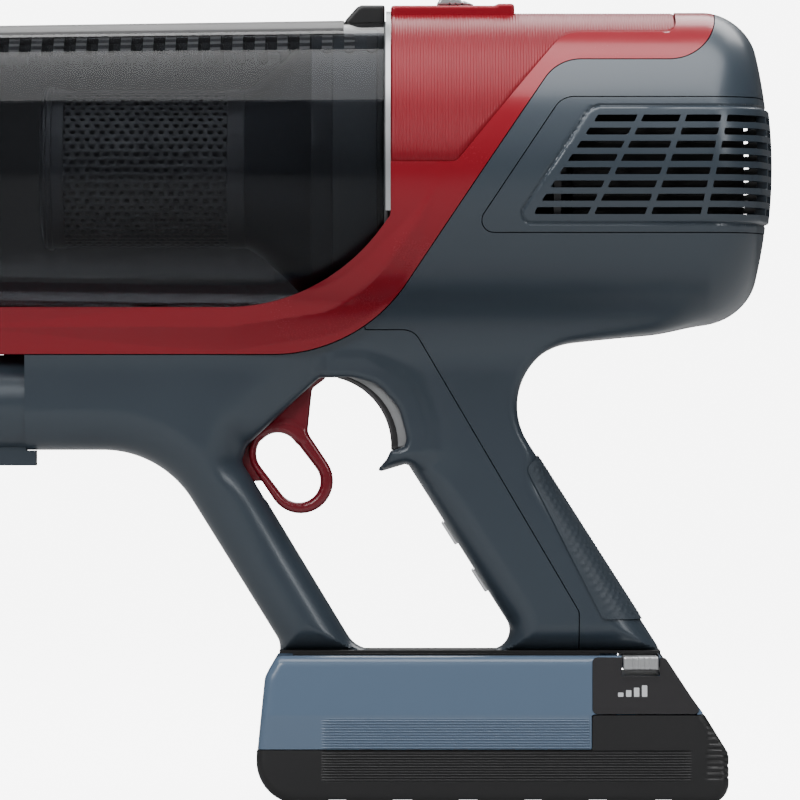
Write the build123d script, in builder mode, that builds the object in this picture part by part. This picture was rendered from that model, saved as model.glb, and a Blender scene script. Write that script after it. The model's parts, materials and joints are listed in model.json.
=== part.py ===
from build123d import *
import os
from math import radians, sin, tan

os.makedirs("parts", exist_ok=True)

# Hand-held vacuum. Millimetres, front towards -X, up is +Z, Y across.
# Origin: centre of the base, on the floor.

# ---- driving dimensions ----------------------------------------------------
BARREL_Z = 265.0        # height of the axis shared by motor, barrel and bin
BARREL_R = 65.5         # barrel casing, outside
WALL = 2.4              # casing wall
FRAME_HALF = 17.0       # half thickness of grip and strut
BEAM_Z = 167.0          # height of the beam's axis
BEAM_R = 20.0
BEAM_FRONT = -130.0     # where the casing ends and the wand socket starts
SOCKET_FRONT = -181.2
WAND_R = 17.5           # bore that takes the wand
WAND_STOP = -140.5      # the bore's inner end
DUCT_X = -77.0          # upright leg of the inlet duct
DUCT_R = 14.6
BIN_R = 62.0
BIN_R_FRONT = 59.4
BIN_WALL = 2.0
BIN_FRONT, BIN_REAR = -160.0, 22.0
CRADLE_R = 62.6         # bore of the cradle round the bin
CRADLE_HALF = 22.0
SHROUD_R = 33.0
TRIGGER_PIVOT = (3.6, 179.4)
LEVER_PIVOT = (-8.0, 183.0)
DOOR_PIVOT = (-156.0, 327.8)
LATCH_PIVOT = (-155.0, 200.0)
PIN_R = 1.5
RUNNING = 0.05          # radial clearance of a part turning on its pin
BATTERY_HALF = 37.0
BATTERY_TOP = 61.7
CELL_R, CELL_LENGTH = 9.2, 65.0
NOTCH_PITCH, NOTCH_WIDTH, NOTCH_DEPTH, NOTCH_COUNT = 27.1, 10.0, 1.8, 6
FIRST_NOTCH_X = 0.7
CELL_PITCH, CELL_COUNT, FIRST_CELL_X = 19.6, 7, 3.0
PLATE_FRONT, PLATE_REAR = -23.7, 135.5          # plate between handle and battery
PLATE_LOW, PLATE_TOP = 62.2, 63.4
RAIL_FRONT, RAIL_REAR = -18.0, 110.0            # rails that the battery slides on
RAIL_LOW, RAIL_STEP = 55.5, 58.0
MOTOR_R, MOTOR_FRONT, MOTOR_REAR = 26.0, 54.0, 104.0
HOUSING_R, HOUSING_FRONT, HOUSING_REAR = 38.0, 25.4, 114.0
FIN_PITCH, FIN_COUNT, FIRST_FIN_X = 9.4, 10, -121.0

AXIS = Axis((0, 0, BARREL_Z), (1, 0, 0))

# ---- outlines in the XZ plane: corners (x, z, rounding radius) ---------------
RED_REGION = [(158, 345, 0), (158, 309, 20), (92, 309, 18), (9.6, 187, 68),
              (-200, 187, 0), (-200, 345, 0)]
BIN_REGION = [(22.8, 345, 0), (22.8, 244.2, 1.5), (-4.9, 206.6, 80),
              (-200, 206.6, 0), (-200, 345, 0)]
RIBBED_REGION = [(141.5, 345, 0), (141.5, 321, 5), (94.7, 320.8, 14),
                 (49.8, 266.3, 3), (22.8, 266.3, 0), (22.8, 345, 0)]
GRILLE_REGION = [(190, 293, 0), (93.5, 293, 9), (56, 237, 5), (190, 237, 0)]
GRILLE_SLOTS = [(190, 287, 0), (109.2, 287, 2), (80.4, 243, 2), (190, 243, 0)]
FRAME = [(BEAM_FRONT, 187, 0), (-28, 187, 0), (12, 197.3, 0), (32.5, 197.3, 8),
         (102, 79.5, 4), (101.4, 63.4, 0), (-23.7, 63.4, 0), (-23.7, 66.7, 2),
         (-73.4, 147, 40), (BEAM_FRONT, 147, 0)]
HAND_OPENING = [(8.4, 60, 0), (81.4, 60, 0), (29.6, 141.3, 1), (15.9, 137.2, 0.8),
                (22, 143.4, 1), (30.3, 149.5, 2), (27, 163.5, 10), (14, 178.3, 10),
                (-7, 179.4, 3), (-40.2, 150.6, 4), (-40.2, 145.5, 4)]
TRIGGER_POCKET = [(-2.5, 170, 0), (-2.5, 185.2, 3), (12, 185.2, 5), (30, 175, 8),
                  (36.5, 158, 6), (36.5, 147, 2), (27, 144, 0)]
REAR_BODY = [(135.9, 63.4, 2), (57, 186.6, 28), (150, 200.8, 0), (150, 240, 0),
             (-20, 240, 0), (-20, 187, 0), (12, 197.3, 0), (32.5, 197.3, 8),
             (102, 79.5, 4), (101.4, 63.4, 0)]
REAR_HOLLOW = [(131.4, 65.8, 1), (52.8, 188.4, 30), (130, 201.5, 0), (130, 240, 0),
               (18, 240, 0), (22, 199.8, 0), (33.8, 199.8, 9), (104.4, 80, 4),
               (103.8, 65.8, 0)]
GRIP_PAD = [(78, 139.4, 3), (110.6, 75.2, 2), (129.6, 75.2, 2), (85.4, 146.5, 3)]
BATTERY_UPPER = [(-32.6, 22.9, 0), (-29.6, 53, 6), (-24.5, BATTERY_TOP, 4),
                 (135.4, BATTERY_TOP, 3), (153.2, 37.4, 0), (106.3, 37.4, 0),
                 (106.3, 22.9, 0)]
BATTERY_LOWER = [(-33.0, 22.7, 0), (-33.5, 0, 18), (163.5, 0, 9), (163.4, 21, 4),
                 (153.4, 37.2, 0), (106.5, 37.2, 0), (106.5, 22.7, 0)]


def rounded_outline(corners):
    """Closed outline through the corners, each rounded by its own radius."""
    starts, ends = [], []
    for i, (x, z, r) in enumerate(corners):
        here = Vector(x, z)
        before = (Vector(*corners[i - 1][:2]) - here).normalized()
        after = (Vector(*corners[(i + 1) % len(corners)][:2]) - here).normalized()
        if r == 0:
            starts.append(here)
            ends.append(here)
            continue
        half = radians(before.get_angle(after)) / 2
        reach = r / tan(half)
        centre = here + (before + after).normalized() * (r / sin(half))
        starts.append(here + before * reach)
        ends.append(here + after * reach)
        ThreePointArc(starts[-1], centre + (here - centre).normalized() * r, ends[-1])
    for i in range(len(corners)):
        if (starts[i] - ends[i - 1]).length > 1e-6:
            Line(ends[i - 1], starts[i])


def prism(corners, half, centre=0.0, mode=Mode.ADD):
    """Outline in the XZ plane carried `half` to each side of y = centre."""
    with BuildSketch(Plane.XZ.offset(-centre)) as outline:
        with BuildLine():
            rounded_outline(corners)
        make_face()
    extrude(outline.sketch, amount=half, both=True, mode=mode)


def turned(profile, mode=Mode.ADD):
    """Closed profile of (x, radius) points turned about the barrel's axis."""
    with BuildSketch(Plane.XZ) as section:
        with BuildLine():
            Polyline(*[(x, BARREL_Z + r) for x, r in profile], close=True)
        make_face()
    revolve(section.sketch, axis=AXIS, mode=mode)


def ring(x0, x1, r0, r1, mode=Mode.ADD):
    """Ring about the barrel's axis from x0 to x1, radius r0 to r1."""
    turned([(x0, r0), (x1, r0), (x1, r1), (x0, r1)], mode)


def block(x0, x1, y0, y1, z0, z1, mode=Mode.ADD):
    """Box between the given coordinates."""
    with Locations(((x0 + x1) / 2, (y0 + y1) / 2, (z0 + z1) / 2)):
        Box(x1 - x0, y1 - y0, z1 - z0, mode=mode)


def bar(x0, x1, z, r, y=0.0, mode=Mode.ADD):
    """Round bar along X."""
    with Locations(((x0 + x1) / 2, y, z)):
        Cylinder(r, x1 - x0, rotation=(0, 90, 0), mode=mode)


def cross_bar(x, z, r, y0, y1, mode=Mode.ADD):
    """Round bar along Y."""
    with Locations((x, (y0 + y1) / 2, z)):
        Cylinder(r, y1 - y0, rotation=(90, 0, 0), mode=mode)


def save(builder, label):
    """Name the finished piece and write its file."""
    builder.part.label = label
    export_step(builder.part, f"parts/{label}.step")


# ---- front frame: beam, strut and front of the grip, in two halves -----------
FRAME_SCREWS = [(-52, 170), (-34, 105), (58, 124), (82, 88)]
REAR_SCREWS = [(72, 152), (110, 84), (53, 205)]
SCREW_R, HEAD_R = 1.5, 2.8


def screw_bosses(places, mode=Mode.ADD):
    """Bosses across the casing with the screw holes through them."""
    for x, z in places:
        cross_bar(x, z, 3.6, -FRAME_HALF + 1, FRAME_HALF - 1, mode)
    for x, z in places:
        cross_bar(x, z, SCREW_R, -10, FRAME_HALF + 1, Mode.SUBTRACT)
        cross_bar(x, z, HEAD_R + 0.2, FRAME_HALF - 4, FRAME_HALF + 1, Mode.SUBTRACT)


def frame_shell():
    """Both halves of the front frame as one hollow casing."""
    prism(FRAME, FRAME_HALF)
    prism(HAND_OPENING, 40, mode=Mode.SUBTRACT)
    bar(BEAM_FRONT, -74, BEAM_Z, BEAM_R)
    with BuildSketch(Plane.XZ) as hollow:
        with BuildLine():
            rounded_outline(FRAME)
        make_face()
        with BuildLine():
            rounded_outline(HAND_OPENING)
        make_face(mode=Mode.SUBTRACT)
        offset(amount=-WALL, mode=Mode.REPLACE)
    extrude(hollow.sketch, amount=FRAME_HALF - WALL, both=True, mode=Mode.SUBTRACT)
    bar(BEAM_FRONT - 1, -76, BEAM_Z, BEAM_R - WALL, mode=Mode.SUBTRACT)
    screw_bosses(FRAME_SCREWS)
    prism(RED_REGION, 60, mode=Mode.SUBTRACT)
    prism(TRIGGER_POCKET, 12.4, mode=Mode.SUBTRACT)
    # slots for the release lever's arm, its hub and its pull tab
    prism([(-26, 160, 0), (-15, 185.5, 0), (-2, 187.8, 0), (-2, 170, 0)], 6.6, mode=Mode.SUBTRACT)
    block(-57, -33, -5, 5, 134, 153, Mode.SUBTRACT)
    for x, z in (TRIGGER_PIVOT, LEVER_PIVOT):
        cross_bar(x, z, 3.8, -FRAME_HALF + 1, FRAME_HALF - 1)
        cross_bar(x, z, PIN_R, -14, 14, Mode.SUBTRACT)
    cross_bar(*TRIGGER_PIVOT, 4.6, -12.4, 12.4, Mode.SUBTRACT)
    cross_bar(*LEVER_PIVOT, 5.2, -6.6, 6.6, Mode.SUBTRACT)
    # way up for the inlet duct
    with Locations((DUCT_X, 0, 184)):
        Cylinder(DUCT_R + 0.2, 10, mode=Mode.SUBTRACT)
    for x, z in CONTACTS:
        contact(x, z, 0, Mode.SUBTRACT)


CONTACTS = [(47.6, 112.0), (60.2, 92.2)]
CONTACT_SLOPE = 57.5


def contact(x, z, proud, mode=Mode.ADD):
    """Slim metal strip let into the front of the grip."""
    with BuildSketch(Plane.XZ.offset(-4)) as strip:
        with Locations(Location((x, z), -CONTACT_SLOPE)):
            with Locations((0, 1.0 - proud / 2)):
                Rectangle(13, 2.0 + proud)
    extrude(strip.sketch, amount=8, mode=mode)


with BuildPart() as frame_left:
    frame_shell()
    split(bisect_by=Plane.XZ, keep=Keep.TOP)
save(frame_left, "frame_left")

with BuildPart() as frame_right:
    frame_shell()
    split(bisect_by=Plane.XZ, keep=Keep.BOTTOM)
save(frame_right, "frame_right")


# ---- rear casing: back of the barrel and of the grip, in two halves -----------
BARREL_PROFILE = [(22.8, 0), (22.8, BARREL_R), (158, BARREL_R), (166.5, 62), (172.7, 53),
                  (177, 44.5), (179.4, 34), (179.8, 0)]
BARREL_HOLLOW = [(25.2, 0), (25.2, BARREL_R - WALL), (157.2, BARREL_R - WALL), (165, 60),
                 (170.8, 51.5), (174.8, 43.5), (177, 34), (177.4, 0)]
COVER_REAR = 158.0


def rear_shell():
    """Both halves of the rear casing as one hollow piece."""
    turned(BARREL_PROFILE)
    prism(REAR_BODY, FRAME_HALF)
    prism(RED_REGION, 80, mode=Mode.SUBTRACT)
    turned(BARREL_HOLLOW, Mode.SUBTRACT)
    prism(REAR_HOLLOW, FRAME_HALF - WALL, mode=Mode.SUBTRACT)
    ring(-30, 22.8, 0, CRADLE_R, Mode.SUBTRACT)
    prism(FRAME, 40, mode=Mode.SUBTRACT)
    prism(GRILLE_REGION, 80, mode=Mode.SUBTRACT)
    screw_bosses(REAR_SCREWS)


with BuildPart() as rear_left:
    rear_shell()
    split(bisect_by=Plane.XZ, keep=Keep.TOP)
save(rear_left, "rear_left")

with BuildPart() as rear_right:
    rear_shell()
    split(bisect_by=Plane.XZ, keep=Keep.BOTTOM)
save(rear_right, "rear_right")

# textured patch on the back of the grip
with BuildPart() as grip_pad:
    prism(GRIP_PAD, FRAME_HALF + 0.8)
    prism(REAR_BODY, FRAME_HALF, mode=Mode.SUBTRACT)
    prism(FRAME, 40, mode=Mode.SUBTRACT)
save(grip_pad, "grip_pad")

with BuildPart() as grip_contacts:
    for x, z in CONTACTS:
        contact(x, z, 0.8)
save(grip_contacts, "grip_contacts")

with BuildPart() as frame_screws:
    for x, z in FRAME_SCREWS + REAR_SCREWS:
        cross_bar(x, z, SCREW_R, -9, FRAME_HALF - 4)
        cross_bar(x, z, HEAD_R, FRAME_HALF - 4, FRAME_HALF - 2)
save(frame_screws, "frame_screws")

# ---- red covers, rim and the platform of the bin's slider ---------------------
SLIDER_SLOT = (43.5, 60.5)

with BuildPart() as red_band:
    ring(22.8, COVER_REAR, BARREL_R - WALL, BARREL_R)
    ring(-60, 22.8, CRADLE_R, BARREL_R)
    block(-150, 15, -CRADLE_HALF, CRADLE_HALF, 187, 210)
    prism(RED_REGION, 80, mode=Mode.INTERSECT)
    prism(BIN_REGION, 80, mode=Mode.SUBTRACT)
    prism(RIBBED_REGION, 80, mode=Mode.SUBTRACT)
    ring(-151, 22.8, 0, CRADLE_R, Mode.SUBTRACT)
    block(-147, -5, -CRADLE_HALF + WALL, CRADLE_HALF - WALL, 180, 199.5, Mode.SUBTRACT)
    with Locations((DUCT_X, 0, 200)):
        Cylinder(DUCT_R + 0.2, 20, mode=Mode.SUBTRACT)
save(red_band, "red_band")

with BuildPart() as top_cover:
    ring(22.8, COVER_REAR, BARREL_R - WALL, BARREL_R - 0.2)
    prism(RIBBED_REGION, 80, mode=Mode.INTERSECT)
    block(*SLIDER_SLOT, -3, 3, 320, 340, Mode.SUBTRACT)
save(top_cover, "top_cover")

with BuildPart() as rim_ring:
    ring(20.8, 22.8, CRADLE_R + 0.2, BARREL_R + 0.6)
    block(10, 30, -80, 80, 246, 340, Mode.INTERSECT)
save(rim_ring, "rim_ring")

with BuildPart() as latch_platform:
    prism([(22.8, 320, 0), (22.8, 333.1, 1), (66, 333.1, 0), (68, 333.9, 0),
           (74.6, 333.9, 1), (74.6, 320, 0)], 13)
    ring(20, 80, 0, BARREL_R - 0.2, Mode.SUBTRACT)
    block(*SLIDER_SLOT, -3, 3, 320, 340, Mode.SUBTRACT)
save(latch_platform, "latch_platform")

with BuildPart() as bin_slider:
    prism([(41.8, 333.5, 0), (43.8, 336.8, 0.6), (50, 336.8, 2), (58.2, 333.5, 0)], 9)
    block(45, 52, -2.5, 2.5, 324, 334)
    block(26, 52, -4, 4, 324, 327)
save(bin_slider, "bin_slider")

# ---- exhaust: slotted belt round the back, filter behind it --------------------
SLOT_PITCH, SLOT_HEIGHT, SLOT_ROWS = 5.44, 2.9, 8
FIRST_SLOT_Z = 284.0
MULLIONS = [((124.5, 285.2), (104, 244.4)), ((142.2, 285.2), (127.5, 244.4)),
            ((159, 285.2), (150.4, 244.4))]
REAR_MULLIONS = (-36, -12, 12, 36)

with BuildPart() as grille_slots:
    for row in range(SLOT_ROWS):
        z = FIRST_SLOT_Z - row * SLOT_PITCH
        block(60, 190, -80, 80, z - SLOT_HEIGHT / 2, z + SLOT_HEIGHT / 2)
    prism(GRILLE_SLOTS, 80, mode=Mode.INTERSECT)
    for (xt, zt), (xb, zb) in MULLIONS:
        prism([(xt, zt + 3, 0), (xt + 2.4, zt + 3, 0), (xb + 2.4, zb - 3, 0), (xb, zb - 3, 0)],
              81, mode=Mode.SUBTRACT)
    for y in REAR_MULLIONS:
        block(166, 191, y - 1.2, y + 1.2, 240, 290, Mode.SUBTRACT)

with BuildPart() as exhaust_grille:
    turned([(22.8, 0), (22.8, BARREL_R), (158, BARREL_R), (166.8, 62.4), (173.5, 53.5),
            (178, 44.8), (181.2, 30), (181.2, 0)])
    turned(BARREL_HOLLOW, Mode.SUBTRACT)
    prism(GRILLE_REGION, 80, mode=Mode.INTERSECT)
    add(grille_slots.part, mode=Mode.SUBTRACT)
save(exhaust_grille, "exhaust_grille")

with BuildPart() as exhaust_filter:
    ring(112, 156, 44, 55)
save(exhaust_filter, "exhaust_filter")

# ---- motor: housing, mounts, fan shroud, can, bearings, board ------------------
SHAFT_R = 2.0

with BuildPart() as motor_housing:
    turned([(HOUSING_FRONT, 14), (HOUSING_FRONT + 2, 14), (HOUSING_FRONT + 2, HOUSING_R),
            (HOUSING_REAR - 2, HOUSING_R), (HOUSING_REAR - 2, 30), (HOUSING_REAR, 30),
            (HOUSING_REAR, HOUSING_R + 2), (HOUSING_FRONT, HOUSING_R + 2)])
    for z in (-26, -13, 0, 13, 26):
        block(92, 108, -60, 60, BARREL_Z + z - 4, BARREL_Z + z + 4, Mode.SUBTRACT)
    for x in (40, 90):
        ring(x, x + 3, HOUSING_R + 2, BARREL_R - WALL - 0.1)
    block(36, 62, -5, 5, 320, 330, Mode.SUBTRACT)
save(motor_housing, "motor_housing")

with BuildPart() as inlet_ring:
    ring(23.2, 25.4, 14, 24)
save(inlet_ring, "inlet_ring")

with BuildPart() as fan_shroud:
    turned([(30, 12), (32, 12), (34, 22.6), (54, 23.4), (54, 28), (32, 28), (30, 26)])
save(fan_shroud, "fan_shroud")

with BuildPart() as mount_front:
    ring(30, 40, 28, HOUSING_R)
save(mount_front, "mount_front")

with BuildPart() as mount_rear:
    ring(96, MOTOR_REAR, MOTOR_R, HOUSING_R)
save(mount_rear, "mount_rear")

with BuildPart() as motor_can:
    turned([(MOTOR_FRONT, 5), (MOTOR_FRONT + 3, 5), (MOTOR_FRONT + 3, MOTOR_R - 2),
            (MOTOR_REAR - 3, MOTOR_R - 2), (MOTOR_REAR - 3, 5), (MOTOR_REAR, 5),
            (MOTOR_REAR, MOTOR_R), (MOTOR_FRONT, MOTOR_R)])
    ring(MOTOR_FRONT + 10, MOTOR_REAR - 12, 10.5, MOTOR_R - 2)
save(motor_can, "motor_can")

with BuildPart() as bearings:
    for x in (MOTOR_FRONT, MOTOR_REAR - 3):
        ring(x, x + 3, SHAFT_R + RUNNING, 5)
save(bearings, "bearings")

with BuildPart() as motor_board:
    ring(106, 107.6, 6, 24)
save(motor_board, "motor_board")

with BuildPart() as rotor_shaft:
    ring(33, 105, 0, SHAFT_R)
save(rotor_shaft, "rotor_shaft")

with BuildPart() as rotor_magnet:
    ring(65, 91, SHAFT_R, 9.6)
save(rotor_magnet, "rotor_magnet")

BLADES = 9
with BuildPart() as impeller:
    turned([(35, SHAFT_R), (35, 5), (41, 7), (48, 14), (50.5, 22), (52, 22), (52, SHAFT_R)])
    with BuildSketch(Plane.YZ.offset(37)) as blades:
        with Locations((0, BARREL_Z)):
            with PolarLocations(12.5, BLADES, rotate=True):
                Rectangle(18, 1.2, rotation=28)
    extrude(blades.sketch, amount=14)
    ring(30, 60, 22, 60, Mode.SUBTRACT)
    ring(30, 36, 7, 22, Mode.SUBTRACT)
    ring(30, 60, 0, SHAFT_R, Mode.SUBTRACT)
save(impeller, "impeller")

# ---- wand socket, inlet duct and seal ------------------------------------------
with BuildPart() as wand_socket:
    bar(SOCKET_FRONT, BEAM_FRONT, BEAM_Z, BEAM_R)
    bar(SOCKET_FRONT, -172, BEAM_Z, BEAM_R + 2)
    bar(BEAM_FRONT, -120, BEAM_Z, BEAM_R - WALL)
    prism([(-168, 150, 0), (-164, 140.5, 3), (BEAM_FRONT, 140.5, 0), (BEAM_FRONT, 150, 0)], 7)
    block(BEAM_FRONT, -126, -7, 7, 140.5, 146.8)
    bar(SOCKET_FRONT, WAND_STOP, BEAM_Z, WAND_R, mode=Mode.SUBTRACT)
    bar(WAND_STOP - 1, -119, BEAM_Z, DUCT_R, mode=Mode.SUBTRACT)
    block(-160, WAND_STOP, -5, 5, 142.5, 152, Mode.SUBTRACT)
    block(-142, -128, -3.2, 3.2, 142.5, 148, Mode.SUBTRACT)
    block(WAND_STOP, -119, -3.2, 3.2, 142.5, 152.6, Mode.SUBTRACT)
save(wand_socket, "wand_socket")

with BuildPart() as inlet_duct:
    with BuildLine(Plane.XZ) as path:
        Line((-131, BEAM_Z), (DUCT_X - 18, BEAM_Z))
        CenterArc((DUCT_X - 18, BEAM_Z + 18), 18, -90, 90)
        Line((DUCT_X, BEAM_Z + 18), (DUCT_X, 201.5))
    with BuildSketch(Plane.YZ.offset(-131)) as bore:
        with Locations((0, BEAM_Z)):
            Circle(DUCT_R)
            Circle(DUCT_R - 2, mode=Mode.SUBTRACT)
    sweep(bore.sketch, path=path.wires()[0])
save(inlet_duct, "inlet_duct")

with BuildPart() as inlet_seal:
    with Locations((DUCT_X, 0, 203)):
        Cylinder(DUCT_R, 3)
        Cylinder(DUCT_R - 3, 3, mode=Mode.SUBTRACT)
    ring(-100, -50, 0, CRADLE_R - 0.1, Mode.SUBTRACT)
save(inlet_seal, "inlet_seal")

# ---- dock plate under the handle, with the battery's rails ----------------------
RAIL_HALF, RAIL_NECK = 24.0, 20.0
with BuildPart() as dock_plate:
    block(PLATE_FRONT, PLATE_REAR, -FRAME_HALF, FRAME_HALF, PLATE_LOW, PLATE_TOP)
save(dock_plate, "dock_plate")

with BuildPart() as dock_rails:
    block(RAIL_FRONT, RAIL_REAR, -RAIL_NECK, RAIL_NECK, RAIL_STEP, PLATE_LOW)
    block(RAIL_FRONT, RAIL_REAR, -RAIL_HALF, RAIL_HALF, RAIL_LOW, RAIL_STEP)
    block(RAIL_FRONT + 4, RAIL_REAR - 4, -14, 14, RAIL_LOW - 1, RAIL_STEP + 2, Mode.SUBTRACT)
save(dock_rails, "dock_rails")

with BuildPart() as terminal_block:
    block(20, 50, -12, 12, 56, 60)
save(terminal_block, "terminal_block")

# ---- trigger, its pin, spring and switch ----------------------------------------
TRIGGER_HALF = 11.8


def trigger_outline(front, back):
    """Crescent from the pivot down to the finger tip; front and back are (x, z) triples."""
    ThreePointArc(*front)
    Line(front[2], back[0])
    ThreePointArc(*back)
    Line(back[2], front[0])


with BuildPart() as trigger:
    with BuildSketch(Plane.XZ) as crescent:
        with BuildLine():
            trigger_outline([(0.5, 176.6), (16.6, 168.2), (22.8, 151.4)],
                            [(28.8, 149.6), (24.9, 165.4), (8, 180.5)])
        make_face()
    extrude(crescent.sketch, amount=TRIGGER_HALF, both=True)
    cross_bar(*TRIGGER_PIVOT, 3.9, -TRIGGER_HALF, TRIGGER_HALF)
    prism([(20.5, 144.6, 0.5), (22.8, 151.5, 0), (28.8, 149.7, 0), (28.6, 148.6, 0)], TRIGGER_HALF)
    block(26, 31, -3, 3, 153, 158)
    cross_bar(*TRIGGER_PIVOT, PIN_R + RUNNING, -20, 20, Mode.SUBTRACT)
    block(-5, 12, -4.2, 4.2, 176.6, 186, Mode.SUBTRACT)
save(trigger, "trigger")

with BuildPart() as pivot_pins:
    for x, z in (TRIGGER_PIVOT, LEVER_PIVOT):
        cross_bar(x, z, PIN_R, -14, 14)
save(pivot_pins, "pivot_pins")

with BuildPart() as trigger_spring:
    cross_bar(*TRIGGER_PIVOT, 2.6, -3.6, 3.6)
    cross_bar(*TRIGGER_PIVOT, PIN_R, -4, 4, Mode.SUBTRACT)
save(trigger_spring, "trigger_spring")

with BuildPart() as trigger_switch:
    block(37.2, 46, -5, 5, 150, 162)
    block(35.4, 37.2, -1.5, 1.5, 154.5, 157)
save(trigger_switch, "trigger_switch")

# ---- wand release: ring lever, rod and latch -------------------------------------
RING_CENTRES = ((-24.6, 145.5), (-15.8, 134.0))
RING_OUT, RING_IN = 13.0, 9.1
LEVER_HALF = 6.0


with BuildPart() as release_lever:
    with BuildSketch(Plane.XZ) as ring_face:
        (xa, za), (xb, zb) = RING_CENTRES
        for radius, mode in ((RING_OUT, Mode.ADD), (RING_IN, Mode.SUBTRACT)):
            with BuildSketch(mode=mode):
                with Locations(RING_CENTRES[0], RING_CENTRES[1]):
                    Circle(radius)
                make_hull()
    extrude(ring_face.sketch, amount=LEVER_HALF, both=True)
    prism([(-26.8, 157, 0), (-12.2, 172.5, 0), (-12.2, 183, 0), (-4.6, 183, 0), (-9.4, 171.8, 0),
           (-11.8, 156, 0), (-8, 146.5, 0), (-14, 152, 0)], LEVER_HALF)
    cross_bar(*LEVER_PIVOT, 4.2, -LEVER_HALF, LEVER_HALF)
    prism([(-36.5, 150, 0), (-50, 148.8, 0), (-50, 145.2, 0), (-37, 143, 0)], 2)
    cross_bar(-50, 147, 1.8, -4.4, 4.4)
    cross_bar(*LEVER_PIVOT, PIN_R + RUNNING, -20, 20, Mode.SUBTRACT)
save(release_lever, "release_lever")

with BuildPart() as release_rod:
    for side in (-1, 1):
        block(-56, -45.6, side * 3.5 - 0.8, side * 3.5 + 0.8, 136, 152)
    block(-52.2, -47.8, -5, 5, 137.8, 149.4, Mode.SUBTRACT)
    block(-59, -56, -4.3, 4.3, 148.4, 152)
    block(-139, -58, -2.5, 2.5, 150, 151.8)
    block(-139, -137.2, -2.5, 2.5, 144, 151.8)
    block(-141, -137.2, -2.5, 2.5, 144, 146)
save(release_rod, "release_rod")

with BuildPart() as wand_latch:
    block(-156, -142, -4, 4, 146, 150.5)
    bar(-160, -130, BEAM_Z, WAND_R, mode=Mode.SUBTRACT)
save(wand_latch, "wand_latch")

# ---- dust bin ---------------------------------------------------------------------
INLET_R = 11.0
with BuildPart() as bin_shell:
    turned([(BIN_FRONT, BIN_R_FRONT), (BIN_REAR - 2, BIN_R), (BIN_REAR - 2, BIN_R - BIN_WALL),
            (BIN_FRONT, BIN_R_FRONT - BIN_WALL)])
    for y in (-10, 10):
        block(-160, -152, y - 2, y + 2, 322, 330)
        block(-158, -152, y - 2, y + 2, 197.5, 208)
    ring(-165, -140, 0, BIN_R_FRONT - BIN_WALL, Mode.SUBTRACT)
    cross_bar(*DOOR_PIVOT, PIN_R, -20, 20, Mode.SUBTRACT)
    cross_bar(*LATCH_PIVOT, PIN_R, -20, 20, Mode.SUBTRACT)
    with Locations((DUCT_X, 0, 205)):
        Cylinder(INLET_R, 12, mode=Mode.SUBTRACT)
save(bin_shell, "bin_shell")

with BuildPart() as bin_catch:
    prism([(3.6, 322, 0), (3.6, 327, 1), (8.6, 332.6, 1), (10.3, 333.5, 1), (20.4, 333.5, 0.5),
           (20.4, 322, 0)], 8)
    ring(0, 30, 0, BIN_R, Mode.SUBTRACT)
save(bin_catch, "bin_catch")

with BuildPart() as bin_strip:
    ring(-124, -22, BIN_R_FRONT - 4.4, BIN_R_FRONT - 2.2)
    block(-125, 0, -30, 30, 300, 330, Mode.INTERSECT)
    for i in range(FIN_COUNT):
        x = FIRST_FIN_X + FIN_PITCH * i
        block(x, x + 2, -26, 26, 306, 314)
save(bin_strip, "bin_strip")

with BuildPart() as shroud:
    ring(-118.7, -38.4, SHROUD_R - 1.4, SHROUD_R)
    ring(-122, -118.7, 0, SHROUD_R + 1.5)
save(shroud, "shroud")

with BuildPart() as cyclone_cone:
    turned([(-38.4, SHROUD_R - 1.4), (-38.4, SHROUD_R), (-10.3, 57.5), (-10.3, 55.5)])
save(cyclone_cone, "cyclone_cone")

with BuildPart() as bin_flange:
    ring(-10.3, -1.0, 50, 59)
    ring(-10.3, -7.3, 28, 50)
save(bin_flange, "bin_flange")

with BuildPart() as pre_filter:
    ring(-1.0, 17, 18, 57)
save(pre_filter, "pre_filter")

with BuildPart() as bin_collar:
    ring(17, 20, 30, 59.4)
    ring(20, BIN_REAR, 30, BIN_R)
save(bin_collar, "bin_collar")

with BuildPart() as bin_pins:
    for x, z in (DOOR_PIVOT, LATCH_PIVOT):
        cross_bar(x, z, PIN_R, -12, 12)
save(bin_pins, "bin_pins")

DOOR_BACK = BIN_FRONT - 0.4
with BuildPart() as bin_door:
    turned([(DOOR_BACK - 2.6, 0), (DOOR_BACK - 2.6, 50), (DOOR_BACK - 0, 54), (DOOR_BACK, BIN_R_FRONT),
            (DOOR_BACK - 4, BIN_R_FRONT), (DOOR_BACK - 6.6, BIN_R_FRONT - 3), (DOOR_BACK - 6.6, 0)])
    prism([(DOOR_BACK - 5, 318, 0), (DOOR_BACK - 5, 327, 2), (-157, 329.6, 0), (-156, 325.7, 0),
           (DOOR_BACK, 325.2, 0), (DOOR_BACK, 318, 0)], 7.6)
    cross_bar(*DOOR_PIVOT, 2.2, -7.6, 7.6)
    cross_bar(*DOOR_PIVOT, PIN_R + RUNNING, -20, 20, Mode.SUBTRACT)
    ring(-160.3, -150, 0, BIN_R_FRONT, Mode.SUBTRACT)
save(bin_door, "bin_door")

with BuildPart() as door_seal:
    ring(DOOR_BACK, DOOR_BACK + 1.8, 54.5, 56.8)
save(door_seal, "door_seal")

with BuildPart() as door_latch:
    prism([(-170.5, 201.5, 0.5), (-170.5, 205.1, 0), (-168, 205.1, 0), (-168, 203, 0), (-157, 202.4, 0),
           (-152.6, 200, 0), (-152.6, 195, 1), (-160, 195, 1)], 7.6)
    cross_bar(*LATCH_PIVOT, PIN_R + RUNNING, -20, 20, Mode.SUBTRACT)
save(door_latch, "door_latch")

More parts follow.
